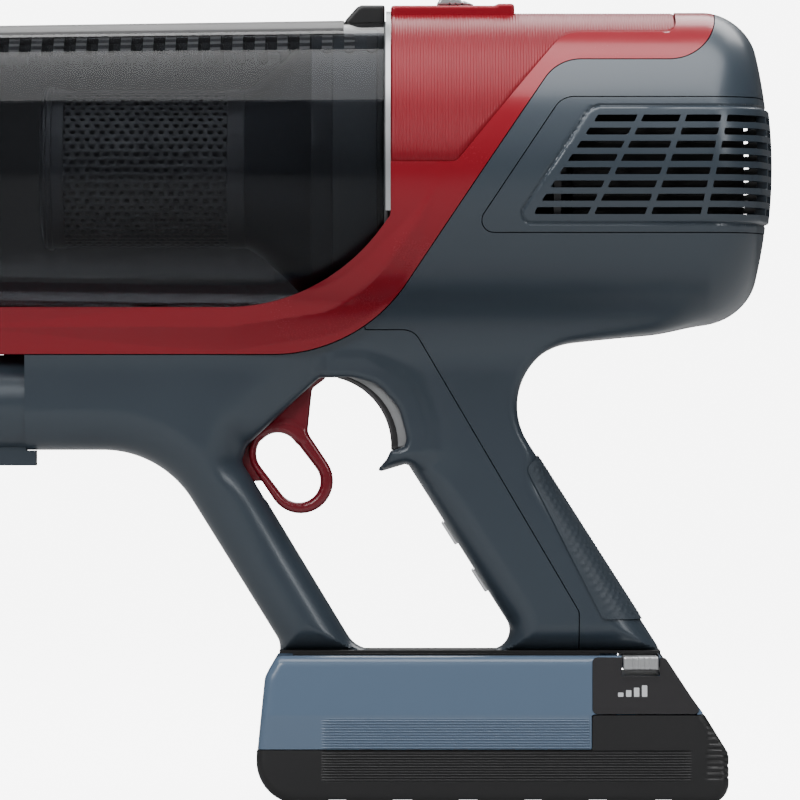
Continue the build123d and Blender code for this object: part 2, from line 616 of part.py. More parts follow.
# ---- battery pack -------------------------------------------------------------------
PANEL = [(106.5, 37.6, 2), (152.6, 37.6, 2), (137, 61.3, 2), (106.5, 61.3, 2)]
SIDE_PANEL = [(-20.4, 60.6, 5), (104.6, 60.6, 2), (104.6, 24, 2), (-23.4, 24, 5)]
BUTTON = (119.3, 134.1)


def hollow_case(corners, half):
    """Closed casing wall-thick all round."""
    prism(corners, half)
    with BuildSketch(Plane.XZ) as inside:
        with BuildLine():
            rounded_outline(corners)
        make_face()
        offset(amount=-WALL, mode=Mode.REPLACE)
    extrude(inside.sketch, amount=half - WALL, both=True, mode=Mode.SUBTRACT)


with BuildPart() as battery_upper:
    hollow_case(BATTERY_UPPER, BATTERY_HALF)
    block(-31, 104, -BATTERY_HALF + WALL, BATTERY_HALF - WALL, 20, 26, Mode.SUBTRACT)
    block(106, 151, -BATTERY_HALF + WALL, BATTERY_HALF - WALL, 36, 42, Mode.SUBTRACT)
    block(100, 112, -BATTERY_HALF + WALL, BATTERY_HALF - WALL, 22, 42, Mode.SUBTRACT)
    block(-40, 113, -RAIL_HALF - 2.4, RAIL_HALF + 2.4, 53.2, 60)
    block(-45, 112, -RAIL_NECK - 0.4, RAIL_NECK + 0.4, 55, 70, Mode.SUBTRACT)
    block(-45, 112, -RAIL_HALF - 0.4, RAIL_HALF + 0.4, 55, 58.5, Mode.SUBTRACT)
    prism([(-45, 20, 0), (-32.6, 22.9, 0), (-29.6, 53, 6), (-24.5, BATTERY_TOP, 4), (-24, 70, 0),
           (-45, 70, 0)], 50, mode=Mode.SUBTRACT)
    block(BUTTON[0] - 0.4, BUTTON[1] + 0.4, -50, 50, 52.5, 70, Mode.SUBTRACT)
    for side in (-1, 1):
        prism(PANEL, 1, side * (BATTERY_HALF - 0.5), Mode.SUBTRACT)
        prism(SIDE_PANEL, 1, side * (BATTERY_HALF - 0.5), Mode.SUBTRACT)
save(battery_upper, "battery_upper")

with BuildPart() as battery_lower:
    hollow_case(BATTERY_LOWER, BATTERY_HALF)
    block(-30.6, 104.5, -BATTERY_HALF + WALL, BATTERY_HALF - WALL, 18, 24, Mode.SUBTRACT)
    block(106, 151, -BATTERY_HALF + WALL, BATTERY_HALF - WALL, 20, 40, Mode.SUBTRACT)
    block(100, 112, -BATTERY_HALF + WALL, BATTERY_HALF - WALL, 18, 24, Mode.SUBTRACT)
    for i in range(NOTCH_COUNT):
        x = FIRST_NOTCH_X + NOTCH_PITCH * i
        block(x - NOTCH_WIDTH / 2, x + NOTCH_WIDTH / 2, -50, 50, -1, NOTCH_DEPTH, Mode.SUBTRACT)
save(battery_lower, "battery_lower")

for label, corners, side in (("side_left", SIDE_PANEL, -1), ("side_right", SIDE_PANEL, 1),
                             ("panel_left", PANEL, -1), ("panel_right", PANEL, 1)):
    with BuildPart() as plate:
        prism(corners, 0.6, side * (BATTERY_HALF - 0.6))
        block(BUTTON[0] - 0.4, BUTTON[1] + 0.4, -50, 50, 52.5, 70, Mode.SUBTRACT)
    save(plate, label)

CELL_X = [FIRST_CELL_X + CELL_PITCH * i for i in range(CELL_COUNT)]
CELL_Z = 29.0
with BuildPart() as cell_tray:
    block(-8, 130, -31, 31, 16, 28)
    for x in CELL_X:
        cross_bar(x, CELL_Z, CELL_R + 0.05, -40, 40, Mode.SUBTRACT)
save(cell_tray, "cell_tray")

with BuildPart() as cells:
    for x in CELL_X:
        cross_bar(x, CELL_Z, CELL_R, -CELL_LENGTH / 2, CELL_LENGTH / 2)
save(cells, "cells")

with BuildPart() as battery_board:
    block(-4, 100, -22, 22, 44, 45.6)
    block(20, 50, -11, 11, 45.6, 53)
save(battery_board, "battery_board")

with BuildPart() as battery_button:
    block(*BUTTON, -BATTERY_HALF - 0.4, BATTERY_HALF + 0.4, 56, 61.4)
save(battery_button, "battery_button")
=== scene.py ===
import json
import math

import bpy
import numpy as np
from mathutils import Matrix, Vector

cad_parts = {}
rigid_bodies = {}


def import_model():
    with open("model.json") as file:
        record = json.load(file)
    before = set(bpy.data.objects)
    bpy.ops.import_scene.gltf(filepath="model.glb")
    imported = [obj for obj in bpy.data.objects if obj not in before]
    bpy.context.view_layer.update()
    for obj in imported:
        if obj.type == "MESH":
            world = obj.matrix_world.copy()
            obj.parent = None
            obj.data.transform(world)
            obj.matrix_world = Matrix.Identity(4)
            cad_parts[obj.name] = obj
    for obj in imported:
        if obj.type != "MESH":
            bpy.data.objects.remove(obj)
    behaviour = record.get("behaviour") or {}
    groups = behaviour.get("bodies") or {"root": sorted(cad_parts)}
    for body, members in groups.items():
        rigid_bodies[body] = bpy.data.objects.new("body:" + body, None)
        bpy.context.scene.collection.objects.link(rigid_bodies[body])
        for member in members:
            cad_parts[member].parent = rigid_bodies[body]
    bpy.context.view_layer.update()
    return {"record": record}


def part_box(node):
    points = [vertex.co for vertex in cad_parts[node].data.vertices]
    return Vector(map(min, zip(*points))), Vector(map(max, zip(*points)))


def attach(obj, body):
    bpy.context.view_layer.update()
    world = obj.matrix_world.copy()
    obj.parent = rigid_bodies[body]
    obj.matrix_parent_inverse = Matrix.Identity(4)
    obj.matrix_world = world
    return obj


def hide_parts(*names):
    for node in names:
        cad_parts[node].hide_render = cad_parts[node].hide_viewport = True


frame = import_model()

bl_info = {
    "name": "Hand-held vacuum",
    "version": (1, 0, 0),
    "blender": (4, 5, 0),
    "location": "View3D > Sidebar > Vacuum",
    "description": "Builds the casings, bin, handle parts and finishes of a cordless hand-held vacuum",
    "category": "Object",
}

MM = 0.001


def span(node):
    """Low and high corner of a CAD node, in millimetres."""
    low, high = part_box(node)
    return np.array(low) / MM, np.array(high) / MM


# ---- sizes that the pieces share, in millimetres ---------------------------------
COVER_HIGH = span("top_cover")[1]
BARREL_R = COVER_HIGH[1] + 0.2
BARREL_Z = COVER_HIGH[2] + 0.2 - BARREL_R
RIM_X = span("rim_ring")[1][0]
FRAME_FRONT = span("frame_left")[0][0]
FRAME_FOOT = span("frame_left")[0][2]
REAR_X = span("exhaust_grille")[1][0] - 1.4
CRADLE_FRONT = span("red_band")[0][0]
WALL = 3.0
CRADLE_R = 62.6         # inside of the cradle that the bin lies in
GAP = 0.22              # half the width of a seam between two casings
SHELL_FRONT_R, SHELL_REAR_R = 59.4, 62.0    # outside of the bin's tapering clear wall
SHROUD_R = 33.0
POCKET_HALF, SLOT_HALF = 12.4, 6.6          # half widths of the trigger's pocket and the pull's slot
CREASE_Z = 37.2                             # height of the crease along the battery's flanks
LEAN_ABOVE, LEAN_BELOW = 0.085, 0.06        # slope of the flanks above and below the crease
LENS, SENSOR = 321.4, 36.0
CAMERA_PLACE = (0.0267, -3.0, 0.168)        # metres

# outlines in the side view: corners (x, z, rounding radius)
RED_REGION = [(158, 345, 0), (158, 309, 20), (92, 309, 18), (9.6, 187, 68),
              (-200, 187, 0), (-200, 345, 0)]
BIN_REGION = [(22.8, 345, 0), (22.8, 244.2, 1.5), (-4.9, 206.6, 80),
              (-200, 206.6, 0), (-200, 345, 0)]
RIBBED_REGION = [(141.5, 345, 0), (141.5, 321, 5), (94.7, 320.8, 14),
                 (49.8, 266.3, 3), (22.8, 266.3, 0), (22.8, 345, 0)]
GRILLE_REGION = [(190, 293, 0), (93.5, 293, 9), (56, 237, 5), (190, 237, 0)]
GRILLE_PANEL = [(190, 289.2, 0), (105.5, 289.2, 8), (73.4, 240.8, 4), (190, 240.8, 0)]
GRILLE_SLOTS = [(174.6, 287, 1.5), (109.2, 287, 2), (80.4, 243, 2), (171.4, 243, 1.5)]
FRAME_REGION = [(-200, 240, 0), (-200, 40, 0), (101.4, 40, 0), (101.6, 79.5, 4),
                (32.5, 197.3, 8), (12, 197.3, 0), (12, 240, 0)]
HANDLE = [(-150, 230, 0), (60, 260, 0), (160, 250, 0), (150, 200.8, 30), (57, 186.6, 28),
          (136.6, 62, 2), (-23.7, 62, 0), (-23.7, 66.7, 8), (-73.4, 147, 44), (-150, 147, 0)]
HAND_OPENING = [(8.4, 63.4, 12), (79.2, 63.4, 8), (29.8, 141.4, 1), (15.9, 137.2, 0.8),
                (21.0, 143.0, 2), (22.8, 146.8, 0.8), (28.4, 148.4, 1.5), (29.6, 152.0, 6),
                (26.2, 164.8, 14), (17.0, 175.0, 14), (6.5, 177.5, 8), (-7, 177.4, 3),
                (-37.2, 149.0, 4), (-39.2, 142.0, 5)]
TRIGGER_POCKET = [(-2.5, 170, 0), (-2.5, 185.2, 3), (12, 185.2, 5), (30, 175, 8),
                  (36.5, 158, 6), (36.5, 146.6, 2), (20.5, 146.4, 0)]
LEVER_SLOT = [(-44, 126, 0), (-44, 153, 0), (-27, 165, 0), (-15, 185.5, 0), (-2, 187.8, 0),
              (-2, 165, 0), (-26, 126, 0)]
GRIP_PAD = [(79.5, 139.4, 3), (111.6, 76.4, 2), (131.6, 76.4, 2), (87.4, 147.5, 3)]

RIDGE = [(-260, 198.2, 0), (-44.7, 198.4, 40), (3.6, 205.8, 40), (19.5, 221.3, 30), (32.4, 239.4, 30),
         (49, 268, 0), (49, 420, 0), (-260, 420, 0)]
LEVER_ARM = [(-34, 152, 0), (-27, 160, 3), (-14.4, 172.6, 3), (-13.4, 186, 3), (-3.6, 186, 3),
             (-4.6, 177, 2), (-10.2, 172.8, 3), (-12.0, 155.8, 0.8), (-12.6, 150, 0), (-16, 150, 0)]
LEVER_TAB = [(-33, 153.5, 0), (-41.5, 148, 2), (-41.5, 141.0, 2), (-35.4, 133.8, 1), (-31.5, 134, 0),
             (-31, 146, 0)]


def stadium(a, b, r, count=20):
    """Outline of two equal circles joined by their outer tangents."""
    a, b = np.array(a), np.array(b)
    lean = math.atan2(*(b - a)[::-1])
    t = np.linspace(math.pi / 2, 3 * math.pi / 2, count) + lean
    around = np.stack((np.cos(t), np.sin(t)), 1) * r
    return np.concatenate((a + around, b - around))


RING_OUTER = stadium((-23.0, 146.0), (-15.0, 134.0), 13.6)
RING_INNER = stadium((-24.6, 145.5), (-15.8, 134.0), 9.1)
BATTERY_UP = [(-32.6, 22.9, 0), (-29.6, 53, 6), (-24.5, 61.7, 4), (135.4, 61.7, 3), (153.2, 37.4, 0),
              (106.3, 37.4, 0), (106.3, 22.9, 0)]
BATTERY_LOW = [(-33.0, 22.7, 0), (-33.5, 0, 18), (163.5, 0, 9), (163.4, 21, 4), (153.4, 37.2, 0),
               (106.5, 37.2, 0), (106.5, 22.7, 0)]
PANEL = [(106.5, 37.6, 2), (152.6, 37.6, 2), (137, 61.3, 2), (106.5, 61.3, 2)]
PLATFORM = [(22.8, 318, 0), (22.8, 333.1, 1.2), (66, 333.1, 0), (68, 333.9, 0), (74.6, 333.9, 1.2),
            (74.6, 318, 0)]
SLIDER = [(41.8, 333.4, 0), (43.8, 336.8, 0.8), (50, 336.8, 2), (58.2, 333.4, 0)]
CATCH = [(3.6, 318, 0), (3.6, 327, 1.5), (8.6, 332.6, 2), (10.3, 333.5, 1), (20.4, 333.5, 0.8),
         (20.4, 318, 0)]
NOTCHES = [0.7 + 27.1 * i for i in range(6)]    # places of the stand notches under the battery
FRAME_SCREWS = [(-52, 170), (-34, 105), (58, 124), (82, 88)]
REAR_SCREWS = [(72, 152), (110, 84), (53, 205)]


# ---- outlines and fields ------------------------------------------------------------
def rounded(corners, step=1.0):
    """Points of a closed outline whose corners are arcs of the stated radii.

    A corner of radius r between two edges that meet at angle a starts r / tan(a / 2) before
    the corner, and its arc is centred r / sin(a / 2) along the bisector.
    """
    corners = np.array(corners, float)
    points = []
    for i, (x, z, r) in enumerate(corners):
        here = np.array((x, z))
        before = corners[i - 1, :2] - here
        after = corners[(i + 1) % len(corners), :2] - here
        before /= np.hypot(*before)
        after /= np.hypot(*after)
        if r == 0:
            points.append(here[None])
            continue
        half = math.acos(np.clip(before @ after, -1, 1)) / 2
        reach = r / math.tan(half)
        bisector = (before + after) / np.hypot(*(before + after))
        centre = here + bisector * r / math.sin(half)
        start, end = here + before * reach - centre, here + after * reach - centre
        turn = math.atan2(start[0] * end[1] - start[1] * end[0], start @ end)
        count = max(3, int(abs(turn) * r / step) + 2)
        angles = math.atan2(start[1], start[0]) + np.linspace(0, turn, count)
        points.append(centre + r * np.stack((np.cos(angles), np.sin(angles)), 1))
    return np.concatenate(points)


class Outline:
    """Signed distance to a side-view outline, negative inside.

    The distance to the nearest edge is worked out once on a fine grid, with the sign from
    the number of edges crossed, and read back by bilinear interpolation.
    """

    def __init__(self, corners, low=(-200, 40), high=(200, 350), step=0.8):
        points = rounded(corners) if len(corners[0]) == 3 else np.array(corners, float)
        self.low, self.step = np.array(low, float), step
        xs = np.arange(low[0], high[0] + step, step)
        zs = np.arange(low[1], high[1] + step, step)
        x, z = np.meshgrid(xs, zs, indexing="ij")
        nearest = np.full(x.shape, 1e9)
        inside = np.zeros(x.shape, bool)
        for a, b in zip(points, np.roll(points, -1, axis=0)):
            edge = b - a
            length = edge @ edge
            if length < 1e-12:
                continue
            t = np.clip(((x - a[0]) * edge[0] + (z - a[1]) * edge[1]) / length, 0, 1)
            nearest = np.minimum(nearest, (x - a[0] - t * edge[0]) ** 2 + (z - a[1] - t * edge[1]) ** 2)
            crosses = (a[1] > z) != (b[1] > z)
            if edge[1]:
                inside ^= crosses & (x < a[0] + (z - a[1]) * edge[0] / edge[1])
        self.grid = np.where(inside, -1, 1) * np.sqrt(nearest)

    def __call__(self, x, z):
        u = np.clip((x - self.low[0]) / self.step, 0, self.grid.shape[0] - 1.001)
        v = np.clip((z - self.low[1]) / self.step, 0, self.grid.shape[1] - 1.001)
        i, j = u.astype(int), v.astype(int)
        u, v, g = u - i, v - j, self.grid
        return ((g[i, j] * (1 - u) + g[i + 1, j] * u) * (1 - v)
                + (g[i, j + 1] * (1 - u) + g[i + 1, j + 1] * u) * v)


def ramp(value, low, high):
    """Smooth step from 0 at low to 1 at high."""
    t = np.clip((value - low) / (high - low), 0, 1)
    return t * t * (3 - 2 * t)


def round_both(a, b, radius):
    """Inside both a and b, with the edge between them rounded to a radius."""
    pa, pb = a + radius, b + radius
    return np.minimum(np.maximum(pa, pb), 0) + np.hypot(np.maximum(pa, 0), np.maximum(pb, 0)) - radius


def join(a, b, reach):
    """Inside either a or b, with a fillet where they meet."""
    h = np.clip(0.5 + 0.5 * (b - a) / reach, 0, 1)
    return b + (a - b) * h - reach * h * (1 - h)


def small(corners, step=0.3):
    """Outline field of a small piece, on a fine grid a little larger than the piece."""
    points = np.array([c[:2] for c in corners], float)
    return Outline(corners, points.min(0) - 8, points.max(0) + 8, step)


def arc(a, b, c, count=14):
    """Points of the circular arc that starts at a, passes b and ends at c.

    The centre is where the upright bisectors of the chords a-b and b-c meet.
    """
    a, b, c = (np.array(p, float) for p in (a, b, c))
    rows = 2 * np.array((b - a, c - b))
    centre = np.linalg.solve(rows, np.array((b @ b - a @ a, c @ c - b @ b)))
    angles = np.unwrap([math.atan2(*(p - centre)[::-1]) for p in (a, b, c)])
    t = np.linspace(angles[0], angles[2], count)
    return centre + np.hypot(*(a - centre)) * np.stack((np.cos(t), np.sin(t)), 1)


def slab(outline, half, radius, middle=0.0):
    """Field of a side-view outline, half as thick to each side, with rounded edges."""
    return lambda x, y, z: round_both(np.abs(y - middle) - half, outline(x, z), radius)


def radius_at(y, z):
    """Distance from the barrel's axis."""
    return np.hypot(y, z - BARREL_Z)


def round_axis(x, r, angle):
    """Points at x, at radius r and an angle from the top round the barrel's axis."""
    return np.stack((x + 0 * angle, r * np.sin(angle), BARREL_Z + r * np.cos(angle)), -1)


def pocket(x, y, z):
    """Inside the trigger's pocket."""
    return np.maximum(np.abs(y) - POCKET_HALF, pocket_line(x, z))


def key_window(x, z):
    """Inside the recess of the battery's release key."""
    return np.maximum(np.abs(x - 126.7) - 7.9, 53.4 - z)


red_line = Outline(RED_REGION)
bin_line = Outline(BIN_REGION)
rib_line = Outline(RIBBED_REGION)
grille_line = Outline(GRILLE_REGION)
panel_line = Outline(GRILLE_PANEL)
slot_line = Outline(GRILLE_SLOTS)
frame_line = Outline(FRAME_REGION)
handle_line = Outline(HANDLE)
opening_line = Outline(HAND_OPENING)
pocket_line = Outline(TRIGGER_POCKET)
lever_line = Outline(LEVER_SLOT)
pad_line = Outline(GRIP_PAD)
ridge_line = Outline(RIDGE)
trigger_line = small(np.concatenate((
    arc((0.6, 177.1), (17.0, 166.4), (22.9, 150.0)), [(22.9, 147.1), (30.6, 147.1), (31.4, 151.0)],
    arc((31.4, 151.5), (26.4, 166.6), (8, 181.0))[1:], [(2.5, 183.3), (0.2, 180)])))
lever_out = small(RING_OUTER)
lever_in = small(RING_INNER)
lever_arm = small(LEVER_ARM)
lever_tab = small(LEVER_TAB)


def barrel(x, y, z):
    """Cylinder along X with a domed, rounded rear end."""
    r = radius_at(y, z)
    return round_both(x + r * r / 400 - (REAR_X + 1.6), r - BARREL_R, 17)


def handle(x, y, z):
    """Side-view outline of beam, strut and grip, as thick as each needs, edges rounded."""
    beam = ramp(-x, 10, 70) * ramp(z, 120, 150)
    strut = ramp(-x, -20, 0) * (1 - ramp(z, 100, 150))
    thick = 17.5 + 2.8 * beam - 3.5 * strut + 5 * ramp(z, 178, 215)
    opening = opening_line(x, z)
    near = ramp(-pocket_line(x, z), -9, 0)
    thick = thick - 3.6 * np.exp(-(opening / 11) ** 2) * ramp(z, 128, 150) * (1 - near) + 0.6 * near
    edge = np.maximum(handle_line(x, z), -opening)
    radius = 12.5 - 9.0 * ramp(z, 130, 150) * ramp(x, -45, -30) + 5.5 * beam
    radius = radius - np.maximum(radius - 2.6, 0) * near
    return round_both(np.abs(y) - thick, edge, radius)


def cradle(x, y, z):
    """Keel under the bin, its flanks drawn in towards the beam."""
    return np.maximum(np.abs(y) - 29.5 - 0.55 * (z - 204), np.maximum(CRADLE_FRONT - x, x - 40)) / 1.1


def keeled(x, y, z):
    """The casing and the keel under the bin as one form."""
    return join(body(x, y, z), cradle(x, y, z), 3)


def flank(x, y, z, side):
    """Keel and body with one facet of the ridge that runs from the keel up the barrel.

    The facet stands proud by a height at the ridge and falls off with the distance to it.
    """
    base = keeled(x, y, z)
    height = 2.6 * (1 - ramp(z, 212, 264)) * ramp(x, -170, -40)
    return np.minimum(base, base - height - side * 0.26 * ridge_line(x, z))


def body(x, y, z):
    """The whole casing: barrel and handle joined by fillets, with the keel under the bin."""
    return join(barrel(x, y, z), handle(x, y, z), 15)


# ---- from fields to meshes -------------------------------------------------------------
def seam(x, y, z):
    """Half width of a seam: open at the surface, closed below it, so that no light comes through."""
    return GAP * ramp(body(x, y, z), -1.9, -1.1)


def net(limits, low, high, step):
    """Closed surface round the points where every limit is negative.

    Surface nets: each grid cell that the surface crosses gets one vertex, the mean of its
    edge crossings, and each crossed grid edge joins the four cells round it. Each vertex is
    then moved by Newton steps onto every limit that cuts its cell's edges, so that the edges
    between two limits are sharp.
    """
    axes = [np.arange(a, b + step, step) for a, b in zip(low, high)]
    x, y, z = np.meshgrid(*axes, indexing="ij", sparse=True)
    value = np.full([len(a) for a in axes], -1e9, np.float32)
    which = np.zeros(value.shape, np.uint16)
    for k, limit in enumerate(limits):
        v = np.broadcast_to(limit(x, y, z), value.shape).astype(np.float32)
        which[v > value] = 1 << k
        value = np.maximum(value, v)
    value = value + 1e-4
    solid = value < 0
    cells = np.zeros([n - 1 for n in value.shape], np.uint8)
    cutting = np.zeros(cells.shape, np.uint16)
    total = np.zeros(cells.shape + (3,), np.float32)
    corner = [slice(0, -1), slice(1, None)]
    for axis in range(3):
        for i in (0, 1):
            for j in (0, 1):
                pick = [corner[i], corner[j]]
                pick.insert(axis, corner[0])
                a = tuple(pick)
                pick[axis] = corner[1]
                b = tuple(pick)
                crossed = solid[a] != solid[b]
                va, vb = value[a], value[b]
                t = np.where(crossed, va / np.where(crossed, va - vb, 1), 0)
                offset = [float(i), float(j)]
                offset.insert(axis, None)
                for k in range(3):
                    total[..., k] += np.where(crossed, t if k == axis else offset[k], 0)
                cells += crossed
                cutting |= np.where(crossed, np.where(solid[a], which[b], which[a]), 0).astype(np.uint16)
    active = cells > 0
    number = np.full(cells.shape, -1)
    number[active] = np.arange(active.sum())
    where = np.argwhere(active)
    verts = np.array(low) + step * (where + total[active] / cells[active][:, None])
    quads = []
    for axis in range(3):
        a = [slice(1, -1)] * 3
        b = [slice(1, -1)] * 3
        a[axis], b[axis] = slice(0, -1), slice(1, None)
        inside, outside = solid[tuple(a)], solid[tuple(b)]
        u, v = [(1, 2), (2, 0), (0, 1)][axis]
        for flip, mask in ((False, inside & ~outside), (True, ~inside & outside)):
            at = np.argwhere(mask)
            at[:, u] += 1
            at[:, v] += 1
            ring = []
            for du, dv in ((-1, -1), (0, -1), (0, 0), (-1, 0)):
                c = at.copy()
                c[:, u] += du
                c[:, v] += dv
                ring.append(number[c[:, 0], c[:, 1], c[:, 2]])
            ring = np.stack(ring, 1)
            quads.append(ring[:, ::-1] if flip else ring)
    quads = np.concatenate(quads)
    cutting = (cutting[active][:, None] >> np.arange(len(limits), dtype=np.uint16)) & 1 > 0
    start, h = verts.copy(), 0.05
    for _ in range(5):
        p = verts.T
        values = np.stack([np.broadcast_to(f(*p), p[0].shape) for f in limits], 1)
        order = np.argsort(np.where(cutting, -values, 1e6 - values), axis=1)[:, :3]
        v = np.take_along_axis(values, order, 1)
        slopes = np.zeros((len(verts), len(limits), 3))
        for k in range(3):
            q = p.copy()
            q[k] += h
            ahead = np.stack([np.broadcast_to(f(*q), p[0].shape) for f in limits], 1)
            q[k] -= 2 * h
            behind = np.stack([np.broadcast_to(f(*q), p[0].shape) for f in limits], 1)
            slopes[..., k] = (ahead - behind) / (2 * h)
        g = np.take_along_axis(slopes, order[..., None], 1)
        size = np.linalg.norm(g, axis=2) + 1e-9
        alike = np.abs(np.einsum("nk,nik->ni", g[:, 0], g)) / (size * size[:, :1])
        use = np.take_along_axis(cutting, order, 1) & (alike < 0.985)
        use[:, 0] = True
        g = g * use[..., None]
        v = v * use
        gram = g @ g.transpose(0, 2, 1) + 0.02 * np.eye(v.shape[1])
        move = -(g.transpose(0, 2, 1) @ np.linalg.solve(gram, v[..., None]))[..., 0]
        verts = start + np.clip(verts + move - start, -0.8 * step, 0.8 * step)
    return verts, quads


def mesh_piece(name, verts, faces, body_name, slot, material, replaces=(), angle=32):
    """New object from arrays of vertices in millimetres and faces, ready placed in its mesh."""
    mesh = bpy.data.meshes.new(name)
    mesh.from_pydata((verts * MM).tolist(), [], faces.tolist())
    mesh.validate()
    mesh.shade_smooth()
    mesh.set_sharp_from_angle(angle=math.radians(angle))
    piece = bpy.data.objects.new(name, mesh)
    bpy.context.scene.collection.objects.link(piece)
    mesh.materials.append(bpy.data.materials[material])
    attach(piece, body_name)
    if replaces:
        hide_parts(*replaces)
    return piece


def moulding(name, limits, low, high, step, body_name, slot, material, replaces=(), angle=32):
    """One closed piece where every limit is negative, made by surface nets."""
    verts, quads = net(limits, low, high, step * (1))
    return mesh_piece(name, verts, quads, body_name, slot, material, replaces, angle)


def grid_faces(n, m, wrap_u=False, wrap_v=False):
    """Quads of an n by m grid of points, closed on itself where asked."""
    i, j = np.meshgrid(np.arange(n if wrap_u else n - 1), np.arange(m if wrap_v else m - 1), indexing="ij")
    a, b = (i + 1) % n, (j + 1) % m
    return np.stack((i * m + j, a * m + j, a * m + b, i * m + b), -1).reshape(-1, 4)


def sheet(outer, inner):
    """Closed slab between two grids of points of the same shape, their borders joined."""
    n, m = outer.shape[:2]
    top = grid_faces(n, m)
    number = np.arange(n * m).reshape(n, m)
    border = np.concatenate((number[:, 0], number[-1, 1:], number[-2::-1, -1], number[0, -2:0:-1]))
    after = np.roll(border, -1)
    side = np.stack((border, border + n * m, after + n * m, after), 1)
    verts = np.concatenate((outer.reshape(-1, 3), inner.reshape(-1, 3)))
    return verts, np.concatenate((top, top[:, ::-1] + n * m, side[:, ::-1]))


def outward(verts, faces):
    """Faces turned so that the closed surface's volume is positive."""
    a, b, c, d = (verts[faces[:, i]] for i in range(4))
    volume = (np.einsum("ij,ij->i", a, np.cross(b, c)) + np.einsum("ij,ij->i", a, np.cross(c, d))).sum()
    return faces if volume > 0 else faces[:, ::-1]


def turned(profile, count=128, ripple=None, depth=0.0):
    """Closed (x, radius) profile carried round the barrel's axis.

    With a ripple, the radius of each point swells by depth times the ripple of its angle,
    as much as the third value of the profile point says.
    """
    profile = np.array(profile, float)
    angle = np.linspace(0, 2 * math.pi, count, endpoint=False)
    x, r = profile[:, 0][:, None] + 0 * angle, profile[:, 1][:, None] + 0 * angle
    if ripple is not None:
        r = r + depth * profile[:, 2][:, None] * ripple(angle)[None]
    verts = round_axis(x, r, angle).reshape(-1, 3)
    faces = grid_faces(len(profile), count, True, True)
    return verts, outward(verts, faces)


def rounded_ring(x0, x1, r0, r1, edge, count=5):
    """Profile of a ring from x0 to x1, radius r0 to r1, its four edges rounded."""
    t = np.linspace(0, math.pi / 2, count)
    points = []
    for cx, cr, start in ((x1 - edge, r1 - edge, 0), (x0 + edge, r1 - edge, 1),
                          (x0 + edge, r0 + edge, 2), (x1 - edge, r0 + edge, 3)):
        a = t + start * math.pi / 2
        points.append(np.stack((cx + edge * np.cos(a), cr + edge * np.sin(a)), 1))
    return np.concatenate(points)


def mirrored(verts, faces):
    """The other side's copy of a half: y turned round, and the faces with it."""
    return verts * (1, -1, 1), faces[:, ::-1]


# ---- materials ------------------------------------------------------------------------------
def new_group(name, inputs, outputs):
    """Empty shader group with the given float and colour sockets."""
    group = bpy.data.node_groups.new(name, "ShaderNodeTree")
    for label, kind, default in inputs:
        socket = group.interface.new_socket(label, in_out="INPUT", socket_type=kind)
        if default is not None:
            socket.default_value = default
    for label, kind in outputs:
        group.interface.new_socket(label, in_out="OUTPUT", socket_type=kind)
    return group, group.nodes.new("NodeGroupInput"), group.nodes.new("NodeGroupOutput")


def add_node(tree, kind, **sockets):
    """New shader node whose inputs take the given links or plain values."""
    node = tree.nodes.new("ShaderNode" + kind)
    for label, value in sockets.items():
        feed(tree, node.inputs[label.replace("_", " ")], value)
    return node


def feed(tree, socket, value):
    """Link a socket to an input, or set its plain number or colour."""
    if isinstance(value, bpy.types.NodeSocket):
        tree.links.new(value, socket)
    elif isinstance(value, (int, float)):
        socket.default_value = value
    else:
        socket.default_value = (*value, 1)


def math_node(tree, operation, a, b, clamp=False):
    """Math node fed by sockets or plain numbers."""
    node = add_node(tree, "Math")
    node.operation, node.use_clamp = operation, clamp
    feed(tree, node.inputs[0], a)
    feed(tree, node.inputs[1], b)
    return node.outputs[0]


def scaled(tree, colour, factor):
    """Colour times a factor."""
    node = add_node(tree, "VectorMath")
    node.operation = "SCALE"
    feed(tree, node.inputs[0], colour)
    feed(tree, node.inputs["Scale"], factor)
    return node.outputs[0]


